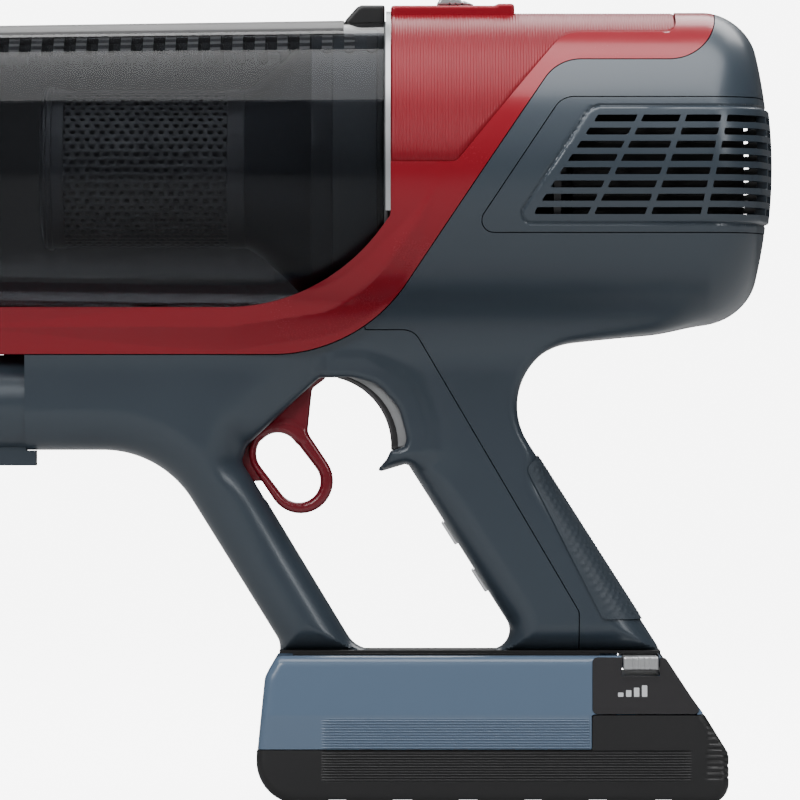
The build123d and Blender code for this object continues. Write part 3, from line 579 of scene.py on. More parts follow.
def build_groups():
    """Moulded skin, paint flake and handling wear, each a group used by many materials."""
    number, colour = "NodeSocketFloat", "NodeSocketColor"
    tree, inside, outside = new_group(
        "moulded_skin",
        [("Colour", colour, None), ("Grain size", number, 1400.0), ("Mottle", number, 0.06),
         ("Roughness", number, 0.35), ("Gloss change", number, 0.08)],
        [("Colour", colour), ("Roughness", number), ("Height", number)])
    place = add_node(tree, "TexCoord").outputs["Object"]
    fine = add_node(tree, "TexNoise", Vector=place, Scale=inside.outputs["Grain size"], Detail=3.0)
    broad = add_node(tree, "TexNoise", Vector=place, Scale=24.0, Detail=4.0)
    change = math_node(tree, "SUBTRACT", broad.outputs["Fac"], 0.5)
    grain = math_node(tree, "SUBTRACT", fine.outputs["Fac"], 0.5)
    both = math_node(tree, "ADD", math_node(tree, "MULTIPLY", grain, 0.5), change)
    bright = math_node(tree, "ADD", math_node(tree, "MULTIPLY", both, inside.outputs["Mottle"]), 1.0)
    rough = math_node(tree, "ADD", inside.outputs["Roughness"],
                      math_node(tree, "MULTIPLY", both, inside.outputs["Gloss change"]), clamp=True)
    feed(tree, outside.inputs["Colour"], scaled(tree, inside.outputs["Colour"], bright))
    feed(tree, outside.inputs["Roughness"], rough)
    feed(tree, outside.inputs["Height"], fine.outputs["Fac"])

    tree, inside, outside = new_group(
        "paint_flake", [("Colour", colour, None), ("Flake size", number, 5200.0), ("Amount", number, 0.3)],
        [("Colour", colour), ("Metallic", number)])
    place = add_node(tree, "TexCoord").outputs["Object"]
    flake = add_node(tree, "TexVoronoi", Vector=place, Scale=inside.outputs["Flake size"])
    split = add_node(tree, "SeparateColor", Color=flake.outputs["Color"])
    shine = math_node(tree, "MULTIPLY", split.outputs[0], inside.outputs["Amount"])
    lift = math_node(tree, "ADD", math_node(tree, "SUBTRACT", shine, math_node(
        tree, "MULTIPLY", inside.outputs["Amount"], 0.5)), 1.0)
    feed(tree, outside.inputs["Colour"], scaled(tree, inside.outputs["Colour"], lift))
    feed(tree, outside.inputs["Metallic"], shine)

    tree, inside, outside = new_group(
        "handling_wear", [("Colour", colour, None), ("Worn colour", colour, None), ("Amount", number, 0.1)],
        [("Colour", colour)])
    place = add_node(tree, "TexCoord").outputs["Object"]
    patch = add_node(tree, "TexNoise", Vector=place, Scale=55.0, Detail=6.0, Roughness=0.7)
    band = add_node(tree, "MapRange", Value=patch.outputs["Fac"], From_Min=0.62, From_Max=0.78)
    mask = math_node(tree, "MULTIPLY", band.outputs[0], inside.outputs["Amount"])
    mix = add_node(tree, "Mix")
    mix.data_type = "RGBA"
    # the colour mix's factor, first and second colour
    for number_in, value in ((0, mask), (6, inside.outputs["Colour"]), (7, inside.outputs["Worn colour"])):
        feed(tree, mix.inputs[number_in], value)
    feed(tree, outside.inputs["Colour"], mix.outputs[2])


def place_group(tree, name, **values):
    """One use of a shared group, with plain values or links for its inputs."""
    node = add_node(tree, "Group")
    node.node_tree = bpy.data.node_groups[name]
    for label, value in values.items():
        feed(tree, node.inputs[label.replace("_", " ").capitalize()], value)
    return node


def finish(name, colour, rough=0.35, mottle=0.06, grain=1400.0, bump=0.02, flake=0.0, wear=0.06,
           coat=0.0, metallic=0.0, gloss_change=0.08, **shader_values):
    """Moulded or painted finish: mottled colour, fine grain, paint flake and light wear."""
    material = bpy.data.materials.new(name)
    material.use_nodes = True
    tree = material.node_tree
    shader = tree.nodes["Principled BSDF"]
    worn = tuple(min(1, c * 1.5 + 0.03) for c in colour)
    skin = place_group(tree, "moulded_skin", colour=colour, grain_size=grain, mottle=mottle,
                       roughness=rough, gloss_change=gloss_change)
    last = skin.outputs["Colour"]
    if flake:
        paint = place_group(tree, "paint_flake", colour=last, amount=flake)
        last = paint.outputs["Colour"]
        tree.links.new(paint.outputs["Metallic"], shader.inputs["Metallic"])
    else:
        shader.inputs["Metallic"].default_value = metallic
    used = place_group(tree, "handling_wear", colour=last, worn_colour=worn, amount=wear)
    tree.links.new(used.outputs["Colour"], shader.inputs["Base Color"])
    tree.links.new(skin.outputs["Roughness"], shader.inputs["Roughness"])
    dents = add_node(tree, "Bump", Strength=bump, Distance=0.3 * MM, Height=skin.outputs["Height"])
    tree.links.new(dents.outputs[0], shader.inputs["Normal"])
    shader.inputs["Coat Weight"].default_value = coat
    for label, value in shader_values.items():
        shader.inputs[label.replace("_", " ")].default_value = value
    return material


class VacuumColours(bpy.types.PropertyGroup):
    """Colours of the main mouldings."""
    casing: bpy.props.FloatVectorProperty(
        name="Casing", description="Slate blue of handle and barrel", subtype="COLOR",
        size=3, min=0, max=1, default=(0.036, 0.050, 0.066))
    cover: bpy.props.FloatVectorProperty(
        name="Covers", description="Red of the band and the ribbed cover", subtype="COLOR",
        size=3, min=0, max=1, default=(0.26, 0.006, 0.016))
    battery: bpy.props.FloatVectorProperty(
        name="Battery panel", description="Lighter blue of the battery's side panel", subtype="COLOR",
        size=3, min=0, max=1, default=(0.080, 0.094, 0.117))


class VacuumSizes(bpy.types.PropertyGroup):
    """Sizes of the surface detail."""
    rib_pitch: bpy.props.FloatProperty(
        name="Rib pitch", description="Distance between the fine ribs of the cover",
        default=1.15 * MM, min=0.0008, max=0.004, subtype="DISTANCE", unit="LENGTH")
    hole_pitch: bpy.props.FloatProperty(
        name="Hole pitch", description="Distance between the holes of the shroud, along the bin",
        default=4.1 * MM, min=0.002, max=0.01, subtype="DISTANCE", unit="LENGTH")


class VACUUM_OT_materials(bpy.types.Operator):
    """Make every finish and give one to each CAD node"""
    bl_idname = "vacuum.materials"
    bl_label = "Finishes"

    def execute(self, context):
        colours = context.scene.vacuum_colours
        blue, red, pack = tuple(colours.casing), tuple(colours.cover), tuple(colours.battery)
        build_groups()
        finish("casing_blue", blue, rough=0.34, flake=0.22, coat=0.18, wear=0.04, Coat_Roughness=0.18)
        finish("cover_red", red, rough=0.26, flake=0.25, coat=0.15, wear=0.03, Specular_IOR_Level=0.35,
               Coat_Roughness=0.08)
        finish("ribbed_red", tuple(c * 0.8 for c in red), rough=0.36, flake=0.2, wear=0.04,
               Specular_IOR_Level=0.3)
        finish("lever_red", (0.15, 0.004, 0.012), rough=0.3, flake=0.1, coat=0.3, wear=0.08)
        finish("battery_blue", tuple(c * 0.95 for c in pack), rough=0.34, flake=0.2, coat=0.1, wear=0.05)
        finish("black_moulding", (0.009, 0.009, 0.010), rough=0.42, grain=2600, bump=0.08, wear=0.08)
        finish("grey_moulding", (0.055, 0.060, 0.064), rough=0.38, grain=2200, bump=0.05)
        finish("silver_paint", (0.46, 0.47, 0.48), rough=0.3, metallic=0.55, mottle=0.03, coat=0.15,
               wear=0.04)
        finish("dark_gloss", (0.035, 0.034, 0.036), rough=0.16, coat=0.6, mottle=0.03, wear=0.05)
        finish("grip_rubber", tuple(c * 0.85 for c in blue), rough=0.5, grain=3000, bump=0.15, wear=0.1)
        finish("seal_rubber", (0.012, 0.012, 0.012), rough=0.65, grain=2600, bump=0.1)
        finish("dark_screen", (0.125, 0.13, 0.14), rough=0.36, mottle=0.06)
        finish("funnel_grey", (0.075, 0.082, 0.092), rough=0.34, mottle=0.06)
        finish("sleeve_grey", (0.10, 0.112, 0.122), rough=0.4, mottle=0.05)
        finish("rib_grey", (0.11, 0.112, 0.115), rough=0.35, mottle=0.05)
        finish("charcoal_foam", (0.02, 0.02, 0.021), rough=0.9, grain=1500, bump=0.5, mottle=0.3)
        finish("display_white", (0.62, 0.63, 0.65), rough=0.4, mottle=0.04)
        finish("plain_steel", (0.55, 0.55, 0.56), rough=0.3, metallic=1.0, mottle=0.1, grain=800)
        finish("bright_trim", (0.75, 0.76, 0.78), rough=0.12, metallic=1.0, mottle=0.05, grain=600)
        finish("turned_aluminium", (0.62, 0.63, 0.65), rough=0.32, metallic=1.0, mottle=0.12, grain=900)
        finish("plated_brass", (0.66, 0.48, 0.2), rough=0.25, metallic=1.0, mottle=0.1)
        finish("filter_fleece", (0.55, 0.57, 0.58), rough=0.9, grain=1800, bump=0.5, mottle=0.25, wear=0.2)
        finish("cell_wrap", (0.03, 0.12, 0.25), rough=0.3, coat=0.3, mottle=0.08)
        finish("circuit_board", (0.01, 0.08, 0.035), rough=0.35, coat=0.3, mottle=0.3, grain=500)
        clear = finish("clear_smoke", (0.33, 0.34, 0.36), rough=0.03, mottle=0.02, bump=0.0, wear=0.02,
                       gloss_change=0.01, IOR=1.22)
        clear.node_tree.nodes["Principled BSDF"].inputs["Transmission Weight"].default_value = 1.0
        by_slot = {
            "blue_plastic": "casing_blue", "battery_blue": "battery_blue", "red_gloss": "cover_red",
            "red_ribbed": "ribbed_red", "red_lever": "lever_red", "black_plastic": "black_moulding",
            "grey_plastic": "grey_moulding", "silver_plastic": "silver_paint", "panel_gloss": "dark_gloss",
            "clear_bin": "clear_smoke", "pad_rubber": "grip_rubber", "seal_rubber": "seal_rubber",
            "steel": "plain_steel", "chrome_trim": "bright_trim", "aluminium": "turned_aluminium",
            "brass": "plated_brass", "filter_media": "filter_fleece", "cell_wrap": "cell_wrap",
            "board": "circuit_board"}
        for part in frame["record"]["subparts"]:
            node = bpy.data.objects[part["node"]]
            node.data.materials.clear()
            name = "charcoal_foam" if part["node"] == "exhaust_filter" else by_slot[part["material_slot"]]
            node.data.materials.append(bpy.data.materials[name])
        return {"FINISHED"}


# ---- casings -------------------------------------------------------------------------------
def casing_step():
    return 1.25


def screw_floor(x, z):
    """How far out from the middle a screw's recess reaches in: just below the casing there."""
    return 10.5 if z < 110 and x < 0 else 13.0


def recesses(places):
    """Outside every round screw recess."""
    def field(x, y, z):
        inside = [np.maximum(np.hypot(x - a, z - b) - 3.3, screw_floor(a, b) - y) for a, b in places]
        return -np.minimum.reduce(np.broadcast_arrays(*inside))
    return field


def halves(name, limits, low, high, places, slot, material):
    """Right half with its screw recesses, and the plain left half, mirrored."""
    verts, quads = net([*limits, recesses(places)], low, high, casing_step())
    mesh_piece(f"casing_{name}_right", verts, quads, "main", slot, material, [f"{name}_right"])
    verts, quads = net(limits, low, high, casing_step())
    mesh_piece(f"casing_{name}_left", *mirrored(verts, quads), "main", slot, material, [f"{name}_left"])


def hollow(x, y, z):
    """Outside the casing's inner surface, one wall in from the outer one."""
    return -(body(x, y, z) + WALL)


class VACUUM_OT_frame(bpy.types.Operator):
    """Front frame in two halves: beam, strut and front of the grip"""
    bl_idname = "vacuum.frame"
    bl_label = "Front frame"

    def execute(self, context):
        limits = [
            body, hollow,
            lambda x, y, z: 0.4 * seam(x, y, z) - y,
            lambda x, y, z: seam(x, y, z) - red_line(x, z),
            lambda x, y, z: frame_line(x, z) + seam(x, y, z),
            lambda x, y, z: np.maximum(FRAME_FRONT - x, FRAME_FOOT - z),
            lambda x, y, z: -pocket(x, y, z),
            lambda x, y, z: -np.maximum(np.abs(y) - SLOT_HALF, lever_line(x, z)),
            lambda x, y, z: -np.maximum(np.abs(y) - 5.0, np.maximum(
                np.maximum(-57 - x, x + 33), np.maximum(134 - z, z - 153))),
        ]
        halves("frame", limits, (-133, -2, 60), (105, 24, 201), FRAME_SCREWS, "blue_plastic", "casing_blue")
        return {"FINISHED"}


class VACUUM_OT_rear(bpy.types.Operator):
    """Rear casing in two halves: back of the barrel, neck and back of the grip"""
    bl_idname = "vacuum.rear"
    bl_label = "Rear casing"

    def execute(self, context):
        limits = [
            body, hollow,
            lambda x, y, z: 0.4 * seam(x, y, z) - y,
            lambda x, y, z: seam(x, y, z) - red_line(x, z),
            lambda x, y, z: seam(x, y, z) - frame_line(x, z),
            lambda x, y, z: seam(x, y, z) - grille_line(x, z),
            lambda x, y, z: np.maximum(FRAME_FOOT - z, -6 - x),
            lambda x, y, z: np.where(x < RIM_X, CRADLE_R - radius_at(y, z), -9),
        ]
        halves("rear", limits, (-9, -2, 60), (184, 69, 333), REAR_SCREWS, "blue_plastic", "casing_blue")

        def screw(x, y, z):
            """Round head with a six-sided socket, on its shank."""
            turn = np.pi / 3
            angle = np.arctan2(z, x) % turn - turn / 2
            socket = np.maximum(np.hypot(x, z) * np.cos(angle) - 1.25, 0.5 - y)
            head = round_both(np.hypot(x, z) - 2.7, np.abs(y - 0.4) - 1.0, 0.5)
            return np.maximum(join(head, np.maximum(np.hypot(x, z) - 1.3, np.abs(y + 4) - 4), 0.3), -socket)
        verts, quads = net([screw], (-3.2, -8.5, -3.2), (3.2, 1.8, 3.2), 0.5)
        places = FRAME_SCREWS + REAR_SCREWS
        at = np.array([(x, screw_floor(x, z) + 0.7, z) for x, z in places])
        verts_all = (verts[None] + at[:, None]).reshape(-1, 3)
        quads_all = (quads[None] + len(verts) * np.arange(len(places))[:, None, None]).reshape(-1, 4)
        mesh_piece("casing_screws", verts_all, quads_all, "main", "steel", "plain_steel", ["frame_screws"])
        return {"FINISHED"}


class VACUUM_OT_band(bpy.types.Operator):
    """Glossy band round the ribbed cover, with the cradle under the bin"""
    bl_idname = "vacuum.band"
    bl_label = "Band and cradle"

    def execute(self, context):
        duct = span("inlet_duct")
        duct_x = (duct[1][0] + span("inlet_seal")[0][0]) / 2

        limits = [
            lambda x, y, z: flank(x, y, z, 1),
            lambda x, y, z: flank(x, y, z, -1),
            lambda x, y, z: -np.maximum(keeled(x, y, z) + WALL, CRADLE_R + WALL - radius_at(y, z)),
            lambda x, y, z: red_line(x, z) + seam(x, y, z),
            lambda x, y, z: -bin_line(x, z),
            lambda x, y, z: 0.15 - rib_line(x, z),
            lambda x, y, z: CRADLE_R - radius_at(y, z),
            lambda x, y, z: CRADLE_FRONT - x,
            lambda x, y, z: 14.8 - np.hypot(x - duct_x, y),
        ]
        verts, quads = net(limits, (-154, -68, 184), (162, 68, 333), casing_step())
        mesh_piece("band_and_cradle", verts, quads, "main", "red_gloss", "cover_red", ["red_band"])
        return {"FINISHED"}


# ---- covers, grille and small mouldings ------------------------------------------------------
class VACUUM_OT_ribbed_cover(bpy.types.Operator):
    """Cover over the motor with fine ribs round the barrel"""
    bl_idname = "vacuum.ribbed_cover"
    bl_label = "Ribbed cover"

    def execute(self, context):
        pitch = context.scene.vacuum_sizes.rib_pitch / MM
        samples = 5
        x = np.arange(RIM_X + 0.1, 141.2, pitch / samples)
        edge = rounded(RIBBED_REGION)
        low = edge[edge[:, 1] < 330]
        low = low[np.argsort(low[:, 0], kind="stable")]
        foot = np.interp(x, low[:, 0], np.maximum.accumulate(low[:, 1]))
        # section: angle runs to where the surface meets the cover's lower edge
        reach = np.arccos(np.clip((foot - BARREL_Z) / BARREL_R, -1, 1))
        across = np.linspace(-1, 1, 92)
        angle = reach[:, None] * across[None]
        wave = 0.5 - 0.5 * np.cos(2 * math.pi * (x - RIM_X) / pitch)
        rim = np.minimum(np.minimum(x - RIM_X, 141.5 - x)[:, None],
                         (1 - np.abs(across))[None] * reach[:, None] * BARREL_R)
        r = BARREL_R - 0.45 + 0.34 * wave[:, None] ** 0.7 * ramp(rim, 0.6, 1.6)
        r = r - 0.5 * (1 - ramp(rim, 0, 1.0))
        verts, faces = sheet(round_axis(x[:, None], r, angle), round_axis(x[:, None], BARREL_R - 2.6, angle))
        mesh_piece("ribbed_cover", verts, outward(verts, faces), "main", "red_ribbed", "ribbed_red",
                   ["top_cover"], angle=70)
        return {"FINISHED"}


class VACUUM_OT_grille(bpy.types.Operator):
    """Exhaust grille: slotted panel that wraps the rear of the barrel, ribs standing proud"""
    bl_idname = "vacuum.grille"
    bl_label = "Exhaust grille"

    def execute(self, context):
        pitch, first, height = 5.44, 284.0, 2.9

        def skin(x, y, z):
            """Barrel, swelling where the ribs wrap round its rear."""
            belt = ramp(panel_line(x, z), 0.4, -1.2) * ramp(x, 120, 168)
            groove = 0.7 * (1 - ramp(np.abs(panel_line(x, z)), 0.2, 0.9))
            return barrel(x, y, z) - 1.25 * belt + groove

        def slots(x, y, z):
            """Rows of slots through the panel, broken by the leaning mullions."""
            row = np.abs((z - first + pitch * 100 + pitch / 2) % pitch - pitch / 2) - height / 2
            side = np.maximum(row, slot_line(x, z))
            rear = np.maximum(np.maximum(row, 164 - x), np.maximum(z - 286.6, 243.4 - z))
            lean = 99.0
            for top, foot in ((125.7, 105.2), (143.4, 128.7), (160.2, 151.6)):
                middle = foot + (z - 244.4) * (top - foot) / 40.8
                lean = np.minimum(lean, np.abs(x - middle) - 1.25)
            across = np.minimum.reduce([np.abs(np.abs(y) - 12), np.abs(np.abs(y) - 36)]) - 1.2
            return round_both(np.minimum(np.maximum(side, -lean), np.maximum(rear, -across)),
                              0 * x - 9, 0.6)
        limits = [
            skin,
            lambda x, y, z: -(barrel(x, y, z) + WALL),
            lambda x, y, z: grille_line(x, z) + seam(x, y, z),
            lambda x, y, z: -slots(x, y, z),
            lambda x, y, z: -y,
        ]
        verts, quads = net(limits, (54, -1, 235), (184, 68, 295), 0.75)
        low, high = span("exhaust_filter")
        t = np.linspace(0, math.pi / 2, 14)
        front, rear = low[0] - 14, high[0] - 4
        dome = np.stack((rear + 18 * np.sin(t) ** 0.5, 0.05 + 54.5 * np.abs(np.cos(t)) ** 0.4, np.cos(t)), 1)
        profile = np.concatenate(([(front, 46, 0), (front, 54.5, 1)], dome, [(rear, 0.05, 0), (rear, 46, 0)]))
        foam = turned(profile, 480, lambda a: np.abs((a * 80 / math.pi) % 2 - 1) - 0.5, 1.6)
        mesh_piece("exhaust_foam", *foam,
                   "main", "filter_media", "charcoal_foam", ["exhaust_filter"], angle=50)
        on_middle = np.abs(verts[:, 1]) < 0.02
        verts[on_middle, 1] = 0
        both = np.concatenate((verts, verts * (1, -1, 1)))
        quads = quads[~on_middle[quads].all(1)]
        mesh_piece("rear_grille", both, np.concatenate((quads, quads[:, ::-1] + len(verts))), "main",
                   "blue_plastic", "casing_blue", ["exhaust_grille"])
        return {"FINISHED"}


class VACUUM_OT_controls(bpy.types.Operator):
    """Trigger, pull ring, platform, slider, catch and release button"""
    bl_idname = "vacuum.controls"
    bl_label = "Controls"

    def execute(self, context):
        crescent = slab(trigger_line, 11.4, 2.2)
        back = small(np.concatenate((arc((3.2, 177.6), (19.5, 166.8), (25.4, 147.0)),
                                     [(60, 140), (40, 200), (0, 200)])))
        low, high = (-3, -13, 142), (31, 13, 186)
        moulding("trigger_body", [crescent, lambda x, y, z: back(x, z)], low, high, 0.6, "trigger",
                 "silver_plastic", "silver_paint", ["trigger"])
        moulding("trigger_lining", [slab(trigger_line, 11.8, 1.2), lambda x, y, z: -0.4 - back(x, z)],
                 low, high, 0.45, "trigger", "black_plastic", "dark_gloss")

        def ring(x, y, z):
            """Stadium ring with a chamfered inner wall."""
            outer = round_both(np.abs(y) - 5.8, lever_out(x, z), 1.8)
            inner = lever_in(x, z) - 1.3 * ramp(np.abs(y), 3.6, 6.2)
            return np.maximum(outer, -inner)

        def lever(x, y, z):
            """Ring and arm joined by a fillet, with the thin tab that runs in the frame's slot."""
            tab = np.maximum(slab(lever_tab, 2.6, 0.6)(x, y, z), -lever_in(x, z))
            arm = np.maximum(slab(lever_arm, 5.4, 1.6)(x, y, z), -lever_in(x, z))
            return join(np.minimum(ring(x, y, z), tab), arm, 1.4)
        moulding("pull_ring", [lever], (-40, -7, 118), (0, 7, 188), 0.6, "lever", "red_lever", "lever_red",
                 ["release_lever"])

        top = small(PLATFORM)
        moulding("platform", [slab(top, 12.8, 1.4), lambda x, y, z: BARREL_R - 0.9 - radius_at(y, z),
                              lambda x, y, z: -np.maximum(np.abs(y) - 3, np.abs(x - 52) - 8.5)],
                 (21, -14, 326), (76, 14, 335), 0.6, "main", "red_gloss", "cover_red", ["latch_platform"])
        wedge = small(SLIDER, 0.15)

        def slider(x, y, z):
            """Thumb wedge with three grooves across it."""
            groove = 0.5 * (1 - ramp(np.abs((x - 46.2) % 2.6 - 1.3), 0.25, 0.6)) * (np.abs(x - 50) < 4.2)
            return round_both(np.abs(y) - 8.8, wedge(x, z) + groove, 0.9)
        moulding("slider_wedge", [slider], (40, -10, 332.6), (60, 10, 338), 0.4, "slider",
                 "silver_plastic", "silver_paint", ["bin_slider"])
        hook = small(CATCH)
        moulding("catch_block", [slab(hook, 7.8, 1.4), lambda x, y, z: 61.8 - radius_at(y, z)],
                 (2, -9, 321), (22, 9, 335), 0.5, "bin", "black_plastic", "black_moulding", ["bin_catch"])
        contact_low, contact_high = span("grip_contacts")
        lean = math.radians(57.5)

        def contact(at_x, at_z):
            """Slim strip along the slope of the grip's front, a little proud of it."""
            def field(x, y, z):
                along = (x - at_x) * math.cos(lean) - (z - at_z) * math.sin(lean)
                out = -(x - at_x) * math.sin(lean) - (z - at_z) * math.cos(lean)
                return round_both(np.maximum(np.abs(along) - 5.6, np.abs(y) - 3.2), np.abs(out) - 1.3, 0.7)
            return field
        middle_z = (contact_low[2] + contact_high[2]) / 2
        for k, (at_x, at_z) in enumerate(((47.6, middle_z + 9.9), (60.2, middle_z - 9.9))):
            moulding(f"contact_strip_{k}", [contact(at_x + 0.3, at_z + 0.2)],
                     (at_x - 6, -5, at_z - 8), (at_x + 8, 5, at_z + 8), 0.45, "main", "chrome_trim",
                     "bright_trim", ["grip_contacts"] if k == 0 else ())
        button = span("battery_button")
        middle, size = (button[0] + button[1]) / 2, (button[1] - button[0]) / 2

        def key(x, y, z):
            """Bar across the pack with rounded ends and grip grooves in its end faces."""
            groove = 0.45 * (1 - ramp(np.abs((x - middle[0] + 50) % 2.4 - 1.2), 0.2, 0.55)) * (
                np.abs(x - middle[0]) < 5)
            section = np.maximum(np.abs(x - middle[0]) - size[0] + 0.1, np.abs(z - middle[2]) - size[2])
            return round_both(np.abs(y) - size[1] + 0.05 + groove, section, 0.9)
        moulding("release_key", [key], button[0] - 1, button[1] + 1, 0.6, "battery_button",
                 "silver_plastic", "silver_paint", ["battery_button"])
        return {"FINISHED"}


class VACUUM_OT_grip_pad(bpy.types.Operator):
    """Rubber patch on the back of the grip, with rows of small studs"""
    bl_idname = "vacuum.grip_pad"
    bl_label = "Grip pad"

    def execute(self, context):
        def pad(x, y, z):
            """Handle grown a little, with studs in a staggered pattern along its back."""
            along = (x - GRIP_PAD[0][0]) * 0.46 - (z - GRIP_PAD[0][1]) * 0.888
            studs = np.cos(2 * math.pi * along / 3.2) * np.cos(2 * math.pi * y / 3.2)
            return handle(x, y, z) - 0.75 - 0.28 * np.maximum(studs, 0) * ramp(pad_line(x, z), -0.8, -2.4)
        moulding("pad_skin", [pad, lambda x, y, z: round_both(pad_line(x, z), np.abs(y) - 60, 0.8),
                              lambda x, y, z: -(handle(x, y, z) + 1.2),
                              lambda x, y, z: GAP - frame_line(x, z)],
                 (76, -20, 74), (134, 20, 150), 0.75, "main", "pad_rubber", "grip_rubber", ["grip_pad"])
        return {"FINISHED"}


# ---- dust bin --------------------------------------------------------------------------------
class VACUUM_OT_bin_inside(bpy.types.Operator):
    """Perforated shroud, funnel, flange, pleated filter and collar inside the bin"""
    bl_idname = "vacuum.bin_inside"
    bl_label = "Inside of the bin"

    def execute(self, context):
        low, high = span("shroud")
        end, front, r = span("cyclone_cone")[0][0], low[0] + 3.3, SHROUD_R
        pitch = context.scene.vacuum_sizes.hole_pitch / MM
        columns, rows = int((end - front - 6) / pitch), 64
        # one cell: a square with a round hole, its corners and mid-sides shared with its neighbours
        square = np.array([(1, 0), (2, 0), (2, 1), (2, 2), (1, 2), (0, 2), (0, 1), (0, 0)])
        turn = np.arctan2(square[:, 1] - 1, square[:, 0] - 1)
        i, j = np.meshgrid(np.arange(columns), np.arange(rows), indexing="ij")
        corner = np.stack((2 * i + j % 2, 2 * j), -1)
        rim = (corner[:, :, None] + square).reshape(-1, 2)
        hole = (corner[:, :, None] + 1 + 0.52 * np.stack((np.cos(turn), np.sin(turn)), 1)).reshape(-1, 2)
        rim[:, 1] %= 2 * rows
        lattice, where = np.unique(rim, axis=0, return_inverse=True)
        where = where.reshape(-1, 8)
        inner = len(lattice) + np.arange(len(hole)).reshape(-1, 8)
        faces = np.stack((where, np.roll(where, -1, 1), np.roll(inner, -1, 1), inner), -1).reshape(-1, 4)
        places = np.concatenate((lattice, hole)).astype(float)
        angle = places[:, 1] * math.pi / rows
        x = front + 3 + places[:, 0] * pitch / 2
        screen = mesh_piece("shroud_screen", round_axis(x, r, angle), faces, "bin", "grey_plastic",
                            "dark_screen", ["shroud"], angle=60)
        thick = screen.modifiers.new("thickness", "SOLIDIFY")
        thick.thickness = 1.0 * MM
        thick.offset = -1
        for name, profile in (("shroud_front",
                               rounded_ring(low[0] - 0.2, front + 5.4, r - 1.5, r + 0.35, 0.5)),
                              ("shroud_rear", rounded_ring(end - 7, end + 0.4, r - 1.5, r + 0.35, 0.5))):
            mesh_piece(name, *turned(profile), "bin", "grey_plastic", "dark_screen")
        cap = np.array([(low[0] - 1.6, 0.01), (low[0] - 1.6, 26), (low[0] - 0.6, 31), (low[0] + 1.5, 34.2),
                        (front, 34.3), (front + 0.3, 32.4), (front - 0.8, 30), (low[0] + 1.4, 0.01)])
        mesh_piece("shroud_cap", *turned(cap), "bin", "grey_plastic", "dark_screen")
        # funnel: radius eases from the shroud out to the flange
        t = np.linspace(0, 1, 24)
        x = end + (span("cyclone_cone")[1][0] - end) * t
        rise = r + 24.4 * t ** 1.25
        wall = np.concatenate((np.stack((x, rise), 1), np.stack((x, rise - 1.8), 1)[::-1]))
        mesh_piece("funnel", *turned(wall), "bin", "grey_plastic", "funnel_grey", ["cyclone_cone"])
        low, high = span("bin_flange")
        mesh_piece("flange_ring", *turned(rounded_ring(low[0], high[0], 28, 58.9, 0.8)), "bin",
                   "grey_plastic", "funnel_grey", ["bin_flange"])
        low, high = span("pre_filter")
        pleats = 72
        body_profile = [(low[0], 20, 0), (low[0], 55.6, 1), (low[0] + 0.6, 56.2, 1), (high[0] - 0.6, 56.2, 1),
                        (high[0], 55.6, 1), (high[0], 20, 0)]
        mesh_piece("pleated_filter", *turned(
            body_profile, pleats * 6, lambda a: np.abs((a * pleats / math.pi) % 2 - 1) - 0.5, 2.0), "bin",
            "filter_media", "filter_fleece", ["pre_filter"])
        sleeve = rounded_ring(low[0] - 0.2, high[0] + 0.2, 57.3, 58.5, 0.4)
        mesh_piece("filter_sleeve", *turned(sleeve), "bin",
                   "grey_plastic", "sleeve_grey")
        # black strip along the top of the wall, and round-ended ribs inside that run from it down both sides
        front, rear = (corner[0] for corner in span("bin_shell"))

        def on_wall(x, down, depth):
            """Points at a depth in the tapering wall, down being the way round from its top."""
            r = SHELL_FRONT_R + (SHELL_REAR_R - SHELL_FRONT_R) * (x - front) / (rear - front) + depth
            return round_axis(x, r, down / 60)
        x, down = np.meshgrid(np.linspace(front + 5, 3.2, 60), np.linspace(-24, 24, 41), indexing="ij")
        lip = 0.5 - 0.5 * ramp(np.abs(down), 22.6, 24)
        verts, faces = sheet(on_wall(x, down, lip), on_wall(x, down, -0.4))
        mesh_piece("bin_strip_bar", verts, outward(verts, faces), "bin", "black_plastic", "black_moulding",
                   ["bin_strip"])
        # rib: a capsule whose half width at each point down its length is that of its round end
        along, down = np.meshgrid(np.linspace(-1, 1, 9), np.linspace(22, 40, 25), indexing="ij")
        past = np.maximum(np.maximum(24.1 - down, down - 37.9), 0)
        along = along * np.sqrt(np.maximum(2.15 ** 2 - past ** 2, 0.01))
        parts, shapes, count = [], [], 0
        for middle in np.arange(rear - 5, front + 14, -9.3):
            verts, faces = sheet(on_wall(middle + along, down, -2.05), on_wall(middle + along, down, -2.9))
            faces = outward(verts, faces)
            for points, quads in ((verts, faces), mirrored(verts, faces)):
                parts.append(points)
                shapes.append(quads + count)
                count += len(points)
        mesh_piece("bin_strip_ribs", np.concatenate(parts), np.concatenate(shapes), "bin", "grey_plastic",
                   "rib_grey")
        low, high = span("bin_collar")
        for name, x0, x1, r1 in (("collar_inner", low[0], 20.0, 59.3), ("collar_lip", 20.0, high[0], 61.9)):
            mesh_piece(name, *turned(rounded_ring(x0, x1, 30, r1, 0.6)), "bin", "grey_plastic",
                       "grey_moulding", ["bin_collar"] if name == "collar_inner" else ())
        return {"FINISHED"}


